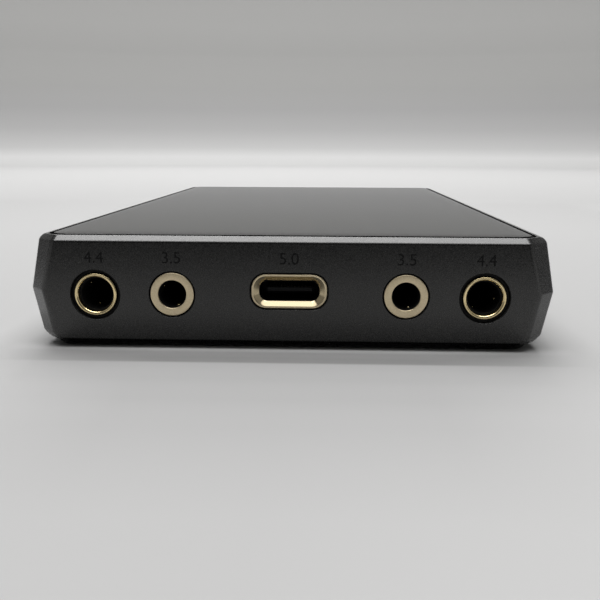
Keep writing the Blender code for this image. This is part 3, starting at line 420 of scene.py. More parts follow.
ROLLED = (300.0, 4000.0, 300.0)
TURNED = (400.0, 400.0, 6000.0)
TIN = plated("tin_plate", (0.50, 0.50, 0.49), (0.68, 0.68, 0.66), (0.28, 0.45), ROLLED)
BRASS = plated("brass", (0.62, 0.44, 0.18), (0.80, 0.60, 0.28), (0.22, 0.38), TURNED)
# The dark nickel is painted shade: it keeps the inside of the charging socket black.
SHADE_NICKEL = plated("dark_nickel", (0.030, 0.030, 0.032), (0.050, 0.050, 0.052), (0.35, 0.5), ROLLED)
print("finishes:", TIN.name, BRASS.name, SHADE_NICKEL.name)

# %% Boards, film, foil and pad
def striped(name, base, stripe, pitch, direction, rough, depth):
    """A film or lacquer over thin conductors that run side by side."""
    material, tree, shader = start_finish(name, Metallic=0.0)
    wave = {"Vector": object_point(tree), "Scale": 1.0 / pitch / 20.0, "Distortion": 0.0}
    bands = place(tree, "TexWave", wave, bands_direction=direction).outputs["Fac"]
    tracks = spread(tree, bands, 0.0, 1.0, 0.55, 0.65)
    patches = spread(tree, noise(tree, 220.0, 1.0), 0.0, 1.0, 0.48, 0.52)
    runs = times(tree, tracks, patches)
    feed(tree, shader, blend(tree, runs, (*base, 1), (*stripe, 1)), spread(tree, runs, *rough))
    emboss(tree, shader, runs, 0.4, depth)
    return material


def pebbled(name, dark, light, scale, rough, depth):
    material, tree, shader = start_finish(name, Metallic=0.0)
    height = noise(tree, scale, 3.0)
    feed(tree, shader, blend(tree, height, (*dark, 1), (*light, 1)), spread(tree, height, *rough))
    emboss(tree, shader, height, 0.5, depth)
    return material


LAMINATE = striped(
    "board_laminate", (0.008, 0.045, 0.026), (0.016, 0.085, 0.045), 0.5 * MM, "X", (0.3, 0.4), 0.03 * MM,
)
FILM = striped(
    "flex_film", (0.26, 0.10, 0.02), (0.42, 0.20, 0.05), 0.6 * MM, "X", (0.3, 0.38), 0.02 * MM,
)
POUCH = pebbled("pouch_foil", (0.09, 0.09, 0.10), (0.16, 0.16, 0.17), 900.0, (0.28, 0.45), 0.05 * MM)
PAD = pebbled("thermal_pad", (0.30, 0.37, 0.43), (0.40, 0.47, 0.53), 3000.0, (0.7, 0.85), 0.03 * MM)
print("finishes:", LAMINATE.name, FILM.name, POUCH.name, PAD.name)

# %% [markdown]
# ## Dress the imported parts
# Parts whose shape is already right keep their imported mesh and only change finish. The
# packed materials carry the names of the record's slots, so one table does them all.

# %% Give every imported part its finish
FINISHES = {
    "anodised_grey": ANODISED, "gold_plate": GOLD, "champagne_anodised": CHAMPAGNE,
    "cover_glass": FRONT_GLASS, "black_glass": BLACK_GLASS, "black_rubber": RUBBER,
    "black_moulding": MOULDING, "board_laminate": LAMINATE, "tin_plate": TIN, "brass": BRASS,
    "pouch_foil": POUCH, "flex_film": FILM, "thermal_pad": PAD, "dark_nickel": SHADE_NICKEL,
}
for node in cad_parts.values():
    for slot in node.material_slots:
        slot.material = FINISHES[slot.material.name.split(".")[0]]
print("dressed", len(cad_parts), "packed parts")

# %% [markdown]
# ## Outlines and skins
# Nearly every part of the player is a rounded outline that changes size along its depth:
# glass, gasket, trim, keys, even the holes cut for them. So the modelling kit is small. One
# function draws a rectangle with cut or rounded corners as a loop of edges, one draws a
# circle, one bridges loops into a closed skin, and others soften edges, cut openings and
# keep the result as a piece. A bridge between loops in one plane may pair them mirrored, so
# flat steps lean by a HAIR.

# %% Outlines
ROUND_STEPS, STADIUM_STEPS, TURN_STEPS = 10, 16, 96
NEARLY_FULL = 0.999
HAIR = 0.02 * MM
UPRIGHT = Matrix.Rotation(math.pi / 2, 4, "X")
SIDEWAYS = Matrix(((0, 0, 1, 0), (1, 0, 0, 0), (0, 1, 0, 0), (0, 0, 0, 1)))


def fresh_mesh():
    """An empty bmesh whose faces can be marked as rounded edges or as polished."""
    bm = bmesh.new()
    for mark in ("edge", "polish"):
        bm.faces.layers.float.new(mark)
    return bm


def level(z):
    return Matrix.Translation((0, 0, z))


def facing_front(x, y, z):
    return Matrix.Translation((x, y, z)) @ UPRIGHT


def facing_right(x, y, z):
    return Matrix.Translation((x, y, z)) @ SIDEWAYS


def bevel(bm, parts, width, affect, steps):
    return bmesh.ops.bevel(
        bm, geom=parts, offset=width, offset_type="OFFSET", affect=affect,
        segments=steps, profile=0.5, material=-1,
    )


def outline(bm, half_u, half_v, corner_cuts, where):
    """A rectangle's edges, after its corners are cut once or more by (length, steps)."""
    corners = bmesh.ops.create_grid(bm, x_segments=1, y_segments=1, size=1.0)["verts"]
    bmesh.ops.scale(bm, vec=(half_u, half_v, 1.0), verts=corners)
    for length, steps in corner_cuts:
        corners = bevel(bm, corners, length, "VERTICES", steps)["verts"]
    face = corners[0].link_faces[0]
    edges = list(face.edges)
    bmesh.ops.delete(bm, geom=[face], context="FACES_ONLY")
    bmesh.ops.transform(bm, matrix=where, verts=corners)
    return edges


def rounded(bm, half_u, half_v, radius, where, steps=ROUND_STEPS):
    return outline(bm, half_u, half_v, [(radius, steps)], where)


def stadium(bm, half_u, half_v, where):
    """An outline with round ends, short of a full half circle, so that no edge lacks length."""
    return rounded(bm, half_u, half_v, half_v * NEARLY_FULL, where, STADIUM_STEPS)


def circle(bm, radius, where):
    made = bmesh.ops.create_circle(bm, radius=radius, segments=TURN_STEPS, matrix=where)
    return list({edge for vert in made["verts"] for edge in vert.link_edges})


print("outlines have", ROUND_STEPS, "steps in a corner and", TURN_STEPS, "round a circle")

# %% Skins and soft edges
def skin(bm, loops, closed=False):
    """Bridges each loop to the next. A closed skin joins the last to the first, else ends are capped."""
    pairs = list(zip(loops, loops[1:]))
    if closed:
        pairs.append((loops[-1], loops[0]))
    for near, far in pairs:
        bmesh.ops.bridge_loops(bm, edges=near + far)
    if not closed:
        for end in (loops[0], loops[-1]):
            bmesh.ops.edgeloop_fill(bm, edges=end)
    bmesh.ops.recalc_face_normals(bm, faces=bm.faces)


def soften(bm, edges, width, steps=3, worn=True):
    """Rounds edges, and marks the new faces for the worn-edge effect."""
    made = bevel(bm, edges, width, "EDGES", steps)
    if worn:
        layer = bm.faces.layers.float["edge"]
        for face in made["faces"]:
            face[layer] = 1.0


print("flat steps lean by", HAIR / MM, "mm")

# %% Objects, cuts and finished pieces
def as_object(bm, name):
    mesh = bpy.data.meshes.new(name)
    bm.to_mesh(mesh)
    bm.free()
    made = bpy.data.objects.new(name, mesh)
    scene.collection.objects.link(made)
    return made


def carve(piece, tools, operation="DIFFERENCE", solver="EXACT"):
    """Cuts tools out of a piece, or joins them to it, and keeps the result as its mesh."""
    for tool in tools:
        step = piece.modifiers.new("carve", "BOOLEAN")
        step.operation = operation
        step.solver = solver
        step.object = tool
    graph = bpy.context.evaluated_depsgraph_get()
    result = bpy.data.meshes.new_from_object(piece.evaluated_get(graph))
    piece.modifiers.clear()
    before = piece.data
    piece.data = result
    bpy.data.meshes.remove(before)
    for tool in tools:
        bpy.data.objects.remove(tool)


def keep(piece, finish, body, stands_for=(), smooth=32.0):
    """Finishes a piece: material, smooth shading with crisp corners, and the body it rides on."""
    piece.data.materials.clear()
    piece.data.materials.append(finish)
    piece.data.shade_smooth()
    piece.data.set_sharp_from_angle(angle=math.radians(smooth))
    flats = piece.modifiers.new("even_faces", "WEIGHTED_NORMAL")
    flats.keep_sharp = True
    flats.weight = 80
    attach(piece, body)
    if stands_for:
        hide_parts(*stands_for)
    print("made", piece.name, "with", len(piece.data.polygons), "faces")


print("modelling kit ready")

# %% [markdown]
# ## Housing
# The housing is milled from one bar. Its sides rise to a ridge, lean in again and round off
# at the top, each upright corner is cut to a facet, and the two ends slope to the glass in a
# narrow flat. It could be lofted from curves, but outlines with cut corners, bridged level
# by level, give flat facets that meet in true lines. Near the top each level follows the
# side's round and the end's flat at once. The lines between the facets are rounded last.

# %% Levels of the housing
half_width = 36.95 * MM
half_length = cad_high.y
CORNER, CORNER_SPREAD = 2.45 * MM, 0.4 * MM
SOFT = 0.5 * MM
under_z, end_z, low_z, ridge_z = 1.0 * MM, 1.3 * MM, 2.0 * MM, 8.15 * MM
shoulder_z, rim_z = 15.09 * MM, 15.85 * MM
LEAN_ABOVE = 1.2 * MM
LEAN_BELOW = 1.35 * MM
SIDE_ROUND = 1.2 * MM
END_CHAMFER, UNDER_IN = 0.3 * MM, 1.0 * MM
OCTAGON = 2 - math.sqrt(2)

low_half = half_width - LEAN_BELOW
under_half, under_length = low_half - UNDER_IN, half_length - END_CHAMFER
slope_above = math.atan2(LEAN_ABOVE, shoulder_z - ridge_z)
slope_below = math.atan2(LEAN_BELOW, ridge_z - low_z)
round_z = rim_z - SIDE_ROUND
round_x = half_width - math.tan(slope_above) * (round_z - ridge_z) - SIDE_ROUND / math.cos(slope_above)


def top_level(angle):
    """The outline where the side's round has turned to an angle: z, half width, half length, leg."""
    z = round_z + SIDE_ROUND * math.sin(angle)
    half_u = round_x + SIDE_ROUND * math.cos(angle)
    cut = max(0.0, z - shoulder_z)
    rise = min(z, shoulder_z) - ridge_z
    side = half_width - math.tan(slope_above) * rise
    leg = CORNER + CORNER_SPREAD * rise / (shoulder_z - ridge_z)
    diagonal = side + half_length - leg - math.sqrt(2) * cut
    return z, half_u, half_length - cut, half_u + half_length - cut - diagonal


TOP_STEPS = 9
crease = math.asin((shoulder_z - round_z) / SIDE_ROUND)
SHELL_LEVELS = [
    (under_z, under_half, under_length, CORNER - OCTAGON * END_CHAMFER),
    (end_z, under_half + END_CHAMFER, half_length, CORNER),
    (low_z, low_half, half_length, CORNER),
    (ridge_z, half_width, half_length, CORNER),
    top_level(slope_above),
]
for step in range(TOP_STEPS + 1):
    SHELL_LEVELS.append(top_level(crease + (math.pi / 2 - crease) * step / TOP_STEPS))
SHOULDER = len(SHELL_LEVELS) - TOP_STEPS - 1
print("levels in mm:", [round(values[0] / MM, 2) for values in SHELL_LEVELS])

# %% Shell of the housing
# The number of a level, and how wide its line is rounded, in millimetres.
LINE_WIDTHS = {0: 0.10, 1: 0.12, 2: 0.25, 3: 0.15, SHOULDER: 0.16, len(SHELL_LEVELS) - 1: 0.06}
LEAST_BEND = 0.25
bm = fresh_mesh()
loops = []
for z, half_u, half_v, leg in SHELL_LEVELS:
    loops.append(outline(bm, half_u, half_v, [(leg, 1), (SOFT, 6)], level(z)))
skin(bm, loops)
for number, width in LINE_WIDTHS.items():
    line = [edge for edge in loops[number] if edge.calc_face_angle(0.0) > LEAST_BEND]
    soften(bm, line, width * MM, 5, worn=False)
shell = as_object(bm, "housing_shell")
print("shell", len(shell.data.polygons), "faces,", [round(d / MM, 2) for d in shell.dimensions], "mm")

# %% [markdown]
# ## Pockets and openings
# The glass and the rear cover lie in shallow pockets, the parts fill a cavity between
# them, and the end and the sides are pierced for sockets, keys and tray. Boolean cuts suit
# this, because each opening crosses faces that are already finished. The cutting shapes
# come from the same outlines, and the socket holes flare by a trace at the panel.

# %% Cut the pockets and the cavity
OVERRUN = 1.0 * MM
TOP_RIM, GLASS_GAP, GLASS_LEDGE = 0.15 * MM, 0.7 * MM, 1.2 * MM
GLASS_RADIUS = SHELL_LEVELS[-1][3] / OCTAGON - TOP_RIM - GLASS_GAP
COVER_GAP = 0.2 * MM
COVER_RADIUS = 3.182 * MM
CAVITY = (31.73 * MM, 61.8 * MM, 0.75 * MM)
glass_floor, ledge_floor, cover_roof, cavity_roof = 14.6 * MM, 13.2 * MM, 2.1 * MM, 12.0 * MM
glass_low, glass_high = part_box("front_glass")
cover_low, cover_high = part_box("rear_cover")


def round_glass(more):
    """The glass's outline made wider by a length, as half width, half length and corner."""
    return glass_high.x + more, glass_high.y + more, GLASS_RADIUS + more


def round_cover(more):
    """The rear cover's outline made wider by a length, in the same three values."""
    return cover_high.x + more, cover_high.y + more, COVER_RADIUS + more


POCKETS = (
    (*round_glass(GLASS_GAP), glass_floor, rim_z + OVERRUN),
    (*round_glass(-GLASS_LEDGE), ledge_floor, rim_z),
    (*round_cover(COVER_GAP), under_z - OVERRUN, cover_roof),
    (*CAVITY, under_z, cavity_roof),
)


def block(name, half_u, half_v, radius, low, high, middle=(0, 0)):
    bm = fresh_mesh()
    places = [Matrix.Translation((*middle, z)) for z in (low, high)]
    skin(bm, [rounded(bm, half_u, half_v, radius, where) for where in places])
    return as_object(bm, name)


for number, values in enumerate(POCKETS):
    carve(shell, [block(f"pocket_{number}", *values)])
print("pockets cut:", len(POCKETS))

# %% Cut the socket holes
panel_y = -half_length
HOLE_EDGE, HOLE_DEEP = 0.006 * MM, 5 * MM
HOLE_STEPS = ((HOLE_EDGE + OVERRUN, -OVERRUN), (0.0, HOLE_EDGE), (0.0, HOLE_DEEP))
TRIM = (5.25 * MM, 2.39 * MM, 2.05 * MM)
TRIM_GAP = 0.25 * MM
JACK_HOLES = {
    "line_out_44": 3.55 * MM, "headphone_44": 3.55 * MM, "line_out_35": 3.28 * MM, "headphone_35": 3.28 * MM,
}


def middle_of(node):
    """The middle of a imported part, moved to the face of the panel."""
    low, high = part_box(node)
    return Vector(((low.x + high.x) / 2, panel_y, (low.z + high.z) / 2))


usb_z = middle_of("usb_trim").z


def jack_loop(bm, jack, radius, depth):
    """A circle round a jack's axis, at a depth behind the panel."""
    axis = middle_of(jack + "_ring")
    return circle(bm, radius, facing_front(axis.x, panel_y + depth, axis.z))


def socket_loop(bm, size, more, depth):
    """An outline of the charging socket made wider by a length, at a depth behind the panel."""
    half_u, half_v, radius = size
    where = facing_front(0, panel_y + depth, usb_z)
    return rounded(bm, half_u + more, half_v + more, radius + more, where)


holes = []
for jack, radius in JACK_HOLES.items():
    bm = fresh_mesh()
    skin(bm, [jack_loop(bm, jack, radius + more, depth) for more, depth in HOLE_STEPS])
    holes.append(as_object(bm, "hole_" + jack))
bm = fresh_mesh()
skin(bm, [socket_loop(bm, TRIM, TRIM_GAP + more, depth) for more, depth in HOLE_STEPS])
holes.append(as_object(bm, "hole_usb"))
carve(shell, holes)
print("socket holes cut:", len(shell.data.polygons), "faces now")

# %% Cut the side slots
FIT = 0.12 * MM
KEY_HEIGHT, KEY_LIP = 2.8 * MM, 0.5 * MM
SLOT_DEEP = 6 * MM
KEYS = ("power", "volume_up", "volume_down", "previous", "play", "next")
tray_low, tray_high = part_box("card_tray")
tray_y = (tray_low.y + tray_high.y) / 2
tray_half = (tray_high.y - tray_low.y) / 2


def key_place(name):
    """A key's side, 1 or -1, its middle along that side, and half its length without the lip."""
    low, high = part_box(name + "_key")
    side = 1 if low.x > 0 else -1
    return side, (low.y + high.y) / 2, (high.y - low.y) / 2 - KEY_LIP


def side_loop(bm, half_u, half_v, depth, y, side=1):
    """An outline with round ends on the ridge of a side, at a depth behind it."""
    return stadium(bm, half_u, half_v, facing_right(side * (half_width - depth), y, ridge_z))


def slot_cutter(name, side, y, half):
    bm = fresh_mesh()
    half_v = KEY_HEIGHT / 2 + FIT
    skin(bm, [side_loop(bm, half + FIT, half_v, depth, y, side) for depth in (-OVERRUN, SLOT_DEEP)])
    return as_object(bm, name)


slots = [slot_cutter("slot_" + name, *key_place(name)) for name in KEYS]
slots.append(slot_cutter("slot_tray", -1, tray_y, tray_half))
carve(shell, slots)
keep(shell, ANODISED, "housing", ["chassis"])

# %% [markdown]
# ## Glass, gasket and rear cover
# The front glass stands a hair above the rim, and its edge curves down over its last three
# millimetres. A black gasket lies low in the line around it. Plates like these could be
# cubes with a bevel, but the rounded outline has to run parallel to the pocket, so each one
# is bridged from outlines. The rear cover is rounded widely underneath, so the player seems
# to float on a dark line.

# %% Front glass
PLATE_STEPS = 14
LEAST_RADIUS = 0.4 * MM
# Each step of the edge: how far in it lies, and how far down, in millimetres.
GLASS_EDGE = ((0.0, 0.10), (0.03, 0.075), (0.4, 0.05), (1.1, 0.028), (2.1, 0.01), (3.2, 0.0))
bm = fresh_mesh()
loops = [rounded(bm, *round_glass(0.0), level(glass_low.z), PLATE_STEPS)]
for inset, drop in GLASS_EDGE:
    half_u, half_v, radius = round_glass(-inset * MM)
    where = level(glass_high.z - drop * MM)
    loops.append(rounded(bm, half_u, half_v, max(radius, LEAST_RADIUS), where, PLATE_STEPS))
skin(bm, loops)
keep(as_object(bm, "screen_glass"), FRONT_GLASS, "housing", ["front_glass"])

# %% Gasket round the glass
BASE_THICK, LIP_DROP, LIP_SOFT = 0.3 * MM, 0.35 * MM, 0.08 * MM
gasket_low, gasket_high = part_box("screen_gasket")
base_top = gasket_low.z + BASE_THICK
lip_top = gasket_high.z - LIP_DROP
GASKET_LOOPS = (
    (*round_glass(GLASS_GAP - FIT), gasket_low.z),
    (*round_glass(GLASS_GAP - FIT), lip_top),
    (*round_glass(FIT), lip_top - HAIR),
    (*round_glass(FIT), base_top),
    (*round_glass(FIT - GLASS_LEDGE), base_top - HAIR),
    (*round_glass(FIT - GLASS_LEDGE), gasket_low.z + HAIR),
)
bm = fresh_mesh()
loops = [rounded(bm, u, v, r, level(z)) for u, v, r, z in GASKET_LOOPS]
skin(bm, loops, closed=True)
soften(bm, loops[1] + loops[2], LIP_SOFT)
keep(as_object(bm, "screen_seal"), RUBBER, "housing", ["screen_gasket"])

# %% Rear cover
INNER_ROUND, UNDER_ROUND = 0.08 * MM, 0.95 * MM
bm = fresh_mesh()
loops = [rounded(bm, *round_cover(0.0), level(z), PLATE_STEPS) for z in (cover_low.z, cover_high.z)]
skin(bm, loops)
soften(bm, loops[1], INNER_ROUND, 5)
soften(bm, loops[0], UNDER_ROUND, 5)
keep(as_object(bm, "back_glass"), BLACK_GLASS, "housing", ["rear_cover"])

# %% [markdown]
# ## Jack rings
# Each ring is turned on a lathe, so its section is drawn once as a small face, the corners
# of that face are rounded, and its edges are spun round the jack's axis. The gold ring has
# a narrow front rim, rounded widely on its inner side, where it catches the light. The
# champagne ring is a broad flat face with two narrow rounded edges. Both hold the black
# liner of the imported jack body, and the domed tips of the spring contacts stand out from
# that liner. Each ring stands free in its hole, and a thin black lining on the hole's wall
# paints the shade in the gap round the ring.

# %% Turned rings
# Each corner of a section: radius, depth behind the panel, and rounding, in millimetres.
GOLD_SECTION = (
    (2.99, 0.15, 0.16), (2.99, 5.35, 0.0), (2.69, 5.35, 0.0), (2.69, 0.86, 0.0), (2.45, 0.86, 0.0),
    (2.45, 0.15, 0.34),
)
CHAMPAGNE_SECTION = (
    (3.05, 0.05, 0.13), (3.05, 5.35, 0.0), (2.45, 5.35, 0.0), (2.45, 0.45, 0.0), (1.975, 0.45, 0.03),
    (1.975, 0.05, 0.09),
)
SECTION_STEPS, RING_SEAM = 6, 0.0005 * MM


def turned(name, section, axis):
    """Spins a section round a jack's axis."""
    bm = fresh_mesh()
    corners = [bm.verts.new(axis + Vector((r, depth, 0)) * MM) for r, depth, soft in section]
    bm.faces.new(corners)
    for corner, (r, depth, soft) in zip(corners, section):
        if soft:
            bevel(bm, [corner], soft * MM, "VERTICES", SECTION_STEPS)
    bmesh.ops.delete(bm, geom=bm.faces[:], context="FACES_ONLY")
    bmesh.ops.spin(
        bm, geom=bm.verts[:] + bm.edges[:], cent=axis, axis=(0, 1, 0), angle=2 * math.pi,
        steps=TURN_STEPS, use_merge=True,
    )
    bmesh.ops.remove_doubles(bm, verts=bm.verts, dist=RING_SEAM)
    bmesh.ops.recalc_face_normals(bm, faces=bm.faces)
    return as_object(bm, name)


print("sections have", len(GOLD_SECTION), "and", len(CHAMPAGNE_SECTION), "corners")

# %% Contact tips, and the rings in place
# Each tip: degrees round the axis, and depth behind the panel in millimetres.
GOLD_TIPS = ((290, 2.4), (20, 4.6), (110, 5.2), (200, 5.8))
CHAMPAGNE_TIPS = ((74, 2.2), (194, 4.4), (314, 5.0))
GOLD_BORE, CHAMPAGNE_BORE = 2.25 * MM, 1.90 * MM
RING_SMOOTH = 40.0
TIP_SHAPE = Matrix.Diagonal((0.24, 0.55, 0.38, 1.0))


def contact_tips(name, axis, bore, tips):
    """Domes that stand out from the wall of a bore."""
    bm = fresh_mesh()
    for angle, depth in tips:
        turn = Matrix.Rotation(math.radians(angle), 4, "Y")
        where = Matrix.Translation(axis + Vector((0, depth * MM, 0))) @ turn
        where = where @ Matrix.Translation((bore, 0, 0)) @ TIP_SHAPE
        bmesh.ops.create_uvsphere(bm, u_segments=20, v_segments=12, radius=1.0 * MM, matrix=where)
    return as_object(bm, name)


RINGS = (
    ("_44_ring", "_gold", GOLD_SECTION, GOLD, "gold_plate", GOLD_BORE, GOLD_TIPS),
    (
        "_35_ring", "_champagne", CHAMPAGNE_SECTION, CHAMPAGNE, "champagne_anodised",
        CHAMPAGNE_BORE, CHAMPAGNE_TIPS,
    ),
)
for name in ("line_out", "headphone"):
    for node, metal, section, finish, slot, bore, tips in RINGS:
        axis = middle_of(name + node)
        ring = turned(name + metal + "_ring", section, axis)
        keep(ring, finish, "housing", [name + node], RING_SMOOTH)
        keep(contact_tips(name + metal + "_tips", axis, bore, tips), GOLD, "housing")

# %% Black linings of the jack holes, which paint their shade
LINING_OUT, LINING_IN, LINING_DEEP = -0.01 * MM, -0.05 * MM, 3.0 * MM
front_out, front_in = 0.04 * MM, 0.05 * MM
LINING_STEPS = (
    (LINING_OUT, front_out), (LINING_OUT, LINING_DEEP),
    (LINING_IN, LINING_DEEP - HAIR), (LINING_IN, front_in),
)
for jack, radius in JACK_HOLES.items():
    bm = fresh_mesh()
    skin(bm, [jack_loop(bm, jack, radius + more, depth) for more, depth in LINING_STEPS], closed=True)
    keep(as_object(bm, jack + "_shade_lining"), RUBBER, "housing")

# %% [markdown]
# ## Charging socket
# The trim is a rounded frame that sits a little behind the panel, with a thin rim and a
# polished bevel that leads the plug in. An inset would keep the same corner all the way in,
# but the mouth has its own corner, so the rim and the mouth are separate outlines with a
# bridge between them as the bevel. A black seat fills the line round the trim and a dark
# sleeve lines the mouth behind the bevel; both paint the shade in these recesses. A black
# tongue carries two rows of gold pads.

# %% Bevelled trim
MOUTH = (4.20 * MM, 1.44 * MM, 1.20 * MM)
RIM_WIDTH = 0.28 * MM
FRONT_SOFT, BEVEL_SOFT = 0.10 * MM, 0.03 * MM
FLAT_FACE = 0.98
trim_front, bevel_back, trim_back = 0.12 * MM, 0.72 * MM, 0.9 * MM
TRIM_LOOPS = (
    (TRIM, 0.0, trim_front), (TRIM, 0.0, trim_back), (MOUTH, 0.0, trim_back - HAIR),
    (MOUTH, 0.0, bevel_back), (TRIM, -RIM_WIDTH, trim_front + HAIR),
)
bm = fresh_mesh()
loops = [socket_loop(bm, size, more, depth) for size, more, depth in TRIM_LOOPS]
skin(bm, loops, closed=True)
polish = bm.faces.layers.float["polish"]
for face in {face for edge in loops[4] for face in edge.link_faces}:
    if abs(face.normal.y) < FLAT_FACE:
        face[polish] = 1.0
soften(bm, loops[0], FRONT_SOFT, 4, worn=False)
soften(bm, loops[4], BEVEL_SOFT, 2, worn=False)
soften(bm, loops[3], BEVEL_SOFT, 2, worn=False)
keep(as_object(bm, "charging_trim"), CHAMPAGNE, "housing", ["usb_trim"], smooth=30.0)

# %% Black seat round the trim, which paints the shade in the line round it
SEAT_FOOT, SEAT_STEP, SEAT_DEEP = 0.02 * MM, 0.60 * MM, 0.90 * MM
seat_out, seat_in = TRIM_GAP + LINING_OUT, TRIM_GAP + LINING_IN
SEAT_LOOPS = (
    (seat_out, front_out), (seat_out, SEAT_DEEP), (SEAT_FOOT, SEAT_DEEP - HAIR),
    (SEAT_FOOT, SEAT_STEP), (seat_in, SEAT_STEP - HAIR), (seat_in, front_in),
)
bm = fresh_mesh()
skin(bm, [socket_loop(bm, TRIM, more, depth) for more, depth in SEAT_LOOPS], closed=True)
keep(as_object(bm, "charging_shade_seat"), RUBBER, "housing")

# %% Dark sleeve behind the trim's bevel, which paints the shade in the mouth
SLEEVE_OUT, SLEEVE_IN, SLEEVE_DEEP = -0.005 * MM, -0.03 * MM, 1.04 * MM
sleeve_front, sleeve_lip = 0.74 * MM, 0.75 * MM
SLEEVE_LOOPS = (
    (SLEEVE_OUT, sleeve_front), (SLEEVE_OUT, SLEEVE_DEEP),
    (SLEEVE_IN, SLEEVE_DEEP - HAIR), (SLEEVE_IN, sleeve_lip),
)
bm = fresh_mesh()
skin(bm, [socket_loop(bm, MOUTH, more, depth) for more, depth in SLEEVE_LOOPS], closed=True)
keep(as_object(bm, "charging_shade_sleeve"), SHADE_NICKEL, "housing")

# %% Tongue
TONGUE = (3.35 * MM, 0.35 * MM, 0.12 * MM)
TONGUE_TIP = (3.12 * MM, 0.24 * MM, 0.08 * MM)
TONGUE_BASE = (4.08 * MM, 1.32 * MM, 1.08 * MM)
TIP_LONG, BASE_LONG = 0.25 * MM, 2.0 * MM
tongue_low, tongue_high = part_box("usb_tongue")
base_front = tongue_high.y - BASE_LONG
TONGUE_LOOPS = (
    (*TONGUE_TIP, tongue_low.y), (*TONGUE, tongue_low.y + TIP_LONG), (*TONGUE, base_front),
    (*TONGUE_BASE, base_front + HAIR), (*TONGUE_BASE, tongue_high.y),
)
bm = fresh_mesh()
skin(bm, [rounded(bm, u, v, r, facing_front(0, y, usb_z)) for u, v, r, y in TONGUE_LOOPS])
keep(as_object(bm, "charging_tongue"), MOULDING, "housing", ["usb_tongue"])

# %% Gold pads on the tongue
PAD_COUNT, PAD_PITCH, PAD_IN = 12, 0.5 * MM, 0.4 * MM
PAD_SIZE = (0.25 * MM, 3.0 * MM, 0.03 * MM)
pad_y = tongue_low.y + PAD_IN + PAD_SIZE[1] / 2
bm = fresh_mesh()
for column in range(PAD_COUNT):
    x = (column - (PAD_COUNT - 1) / 2) * PAD_PITCH
    for side in (-1, 1):
        middle = (x, pad_y, usb_z + side * TONGUE[1])
        where = Matrix.Translation(middle) @ Matrix.Diagonal((*PAD_SIZE, 1.0))
        bmesh.ops.create_cube(bm, size=1.0, matrix=where)
keep(as_object(bm, "charging_pads"), GOLD, "housing")

# %% [markdown]
# ## Side keys and card tray
# The keys and the tray's door continue the two slopes of the housing's side. A bevelled box
# would meet the ridge wrongly, so each one is a bar with round ends that two slanted planes
# cut to the slopes, and only then is the new edge rounded. The tray is such a door with a
# flat blade joined behind it. The exact solver fails on the door's tiny edges, so its cuts
# use the manifold one.

# %% Bars cut to the slopes
KEY_SOFT = 0.25 * MM
BAR_OUT, SLOPE_REACH = 2 * MM, 1.0 * MM
OUTWARD = 0.5


def cut_slopes(bm, proud):
    """Cuts a bar that points along +X to the two slopes, and rounds the edge that this leaves."""
    ridge = Vector((half_width + proud, 0, ridge_z))
    for slope, up in ((slope_above, 1), (slope_below, -1)):
        normal = Vector((math.cos(slope), 0, up * math.sin(slope)))
        parts = bm.verts[:] + bm.edges[:] + bm.faces[:]
        bmesh.ops.bisect_plane(bm, geom=parts, plane_co=ridge, plane_no=normal, clear_outer=True)
        open_edges = [edge for edge in bm.edges if edge.is_boundary]
        bmesh.ops.edgeloop_fill(bm, edges=open_edges)
    bmesh.ops.recalc_face_normals(bm, faces=bm.faces)
    slopes = [face for face in bm.faces if face.normal.x > OUTWARD]
    slopes = [face for face in slopes if face.calc_center_median().x > half_width - SLOPE_REACH]
    rim = [edge for face in slopes for edge in face.edges if len(set(edge.link_faces) & set(slopes)) == 1]
    soften(bm, rim, KEY_SOFT, 4)


def turn_to_left(bm):
    bmesh.ops.rotate(bm, cent=(0, 0, 0), matrix=Matrix.Rotation(math.pi, 3, "Z"), verts=bm.verts)


print("bars stand out by", BAR_OUT / MM, "mm until they are cut")

# %% Keys
KEY_PROUD = 0.35 * MM
NUB = (1.2 * MM, 0.7 * MM)
flange_out, flange_in, nub_in = 3.32 * MM, 3.92 * MM, 4.22 * MM
for name in KEYS:
    side, y, half = key_place(name)
    bar = (half, KEY_HEIGHT / 2)
    flange = (half + KEY_LIP, KEY_HEIGHT / 2 + KEY_LIP)
    sections = (
        (*NUB, nub_in), (*NUB, flange_in), (*flange, flange_in - HAIR),
        (*flange, flange_out), (*bar, flange_out - HAIR), (*bar, -BAR_OUT),
    )
    bm = fresh_mesh()
    skin(bm, [side_loop(bm, half_u, half_v, depth, side * y) for half_u, half_v, depth in sections])
    cut_slopes(bm, KEY_PROUD)
    if side < 0:
        turn_to_left(bm)
    keep(as_object(bm, name + "_cap"), ANODISED, name + "_key", [name + "_key"])

# %% Door and blade of the card tray
DOOR_THICK = 2.4 * MM
BLADE_HALF_WIDE, BLADE_HALF_THICK, BLADE_RADIUS = 6.3 * MM, 0.55 * MM, 0.5 * MM
bm = fresh_mesh()
skin(bm, [side_loop(bm, tray_half, KEY_HEIGHT / 2, depth, -tray_y) for depth in (DOOR_THICK, -BAR_OUT)])
cut_slopes(bm, 0.0)
turn_to_left(bm)
tray = as_object(bm, "card_drawer")

blade_start, blade_end = DOOR_THICK / 2 - half_width, tray_high.x
blade_low, blade_top = ridge_z - BLADE_HALF_THICK, ridge_z + BLADE_HALF_THICK
blade_half, middle = (blade_end - blade_start) / 2, ((blade_end + blade_start) / 2, tray_y)
blade = block("blade", blade_half, BLADE_HALF_WIDE, BLADE_RADIUS, blade_low, blade_top, middle)
carve(tray, [blade], "UNION", "MANIFOLD")
print("blade reaches", round((blade_end - blade_start) / MM, 1), "mm behind the door's middle")

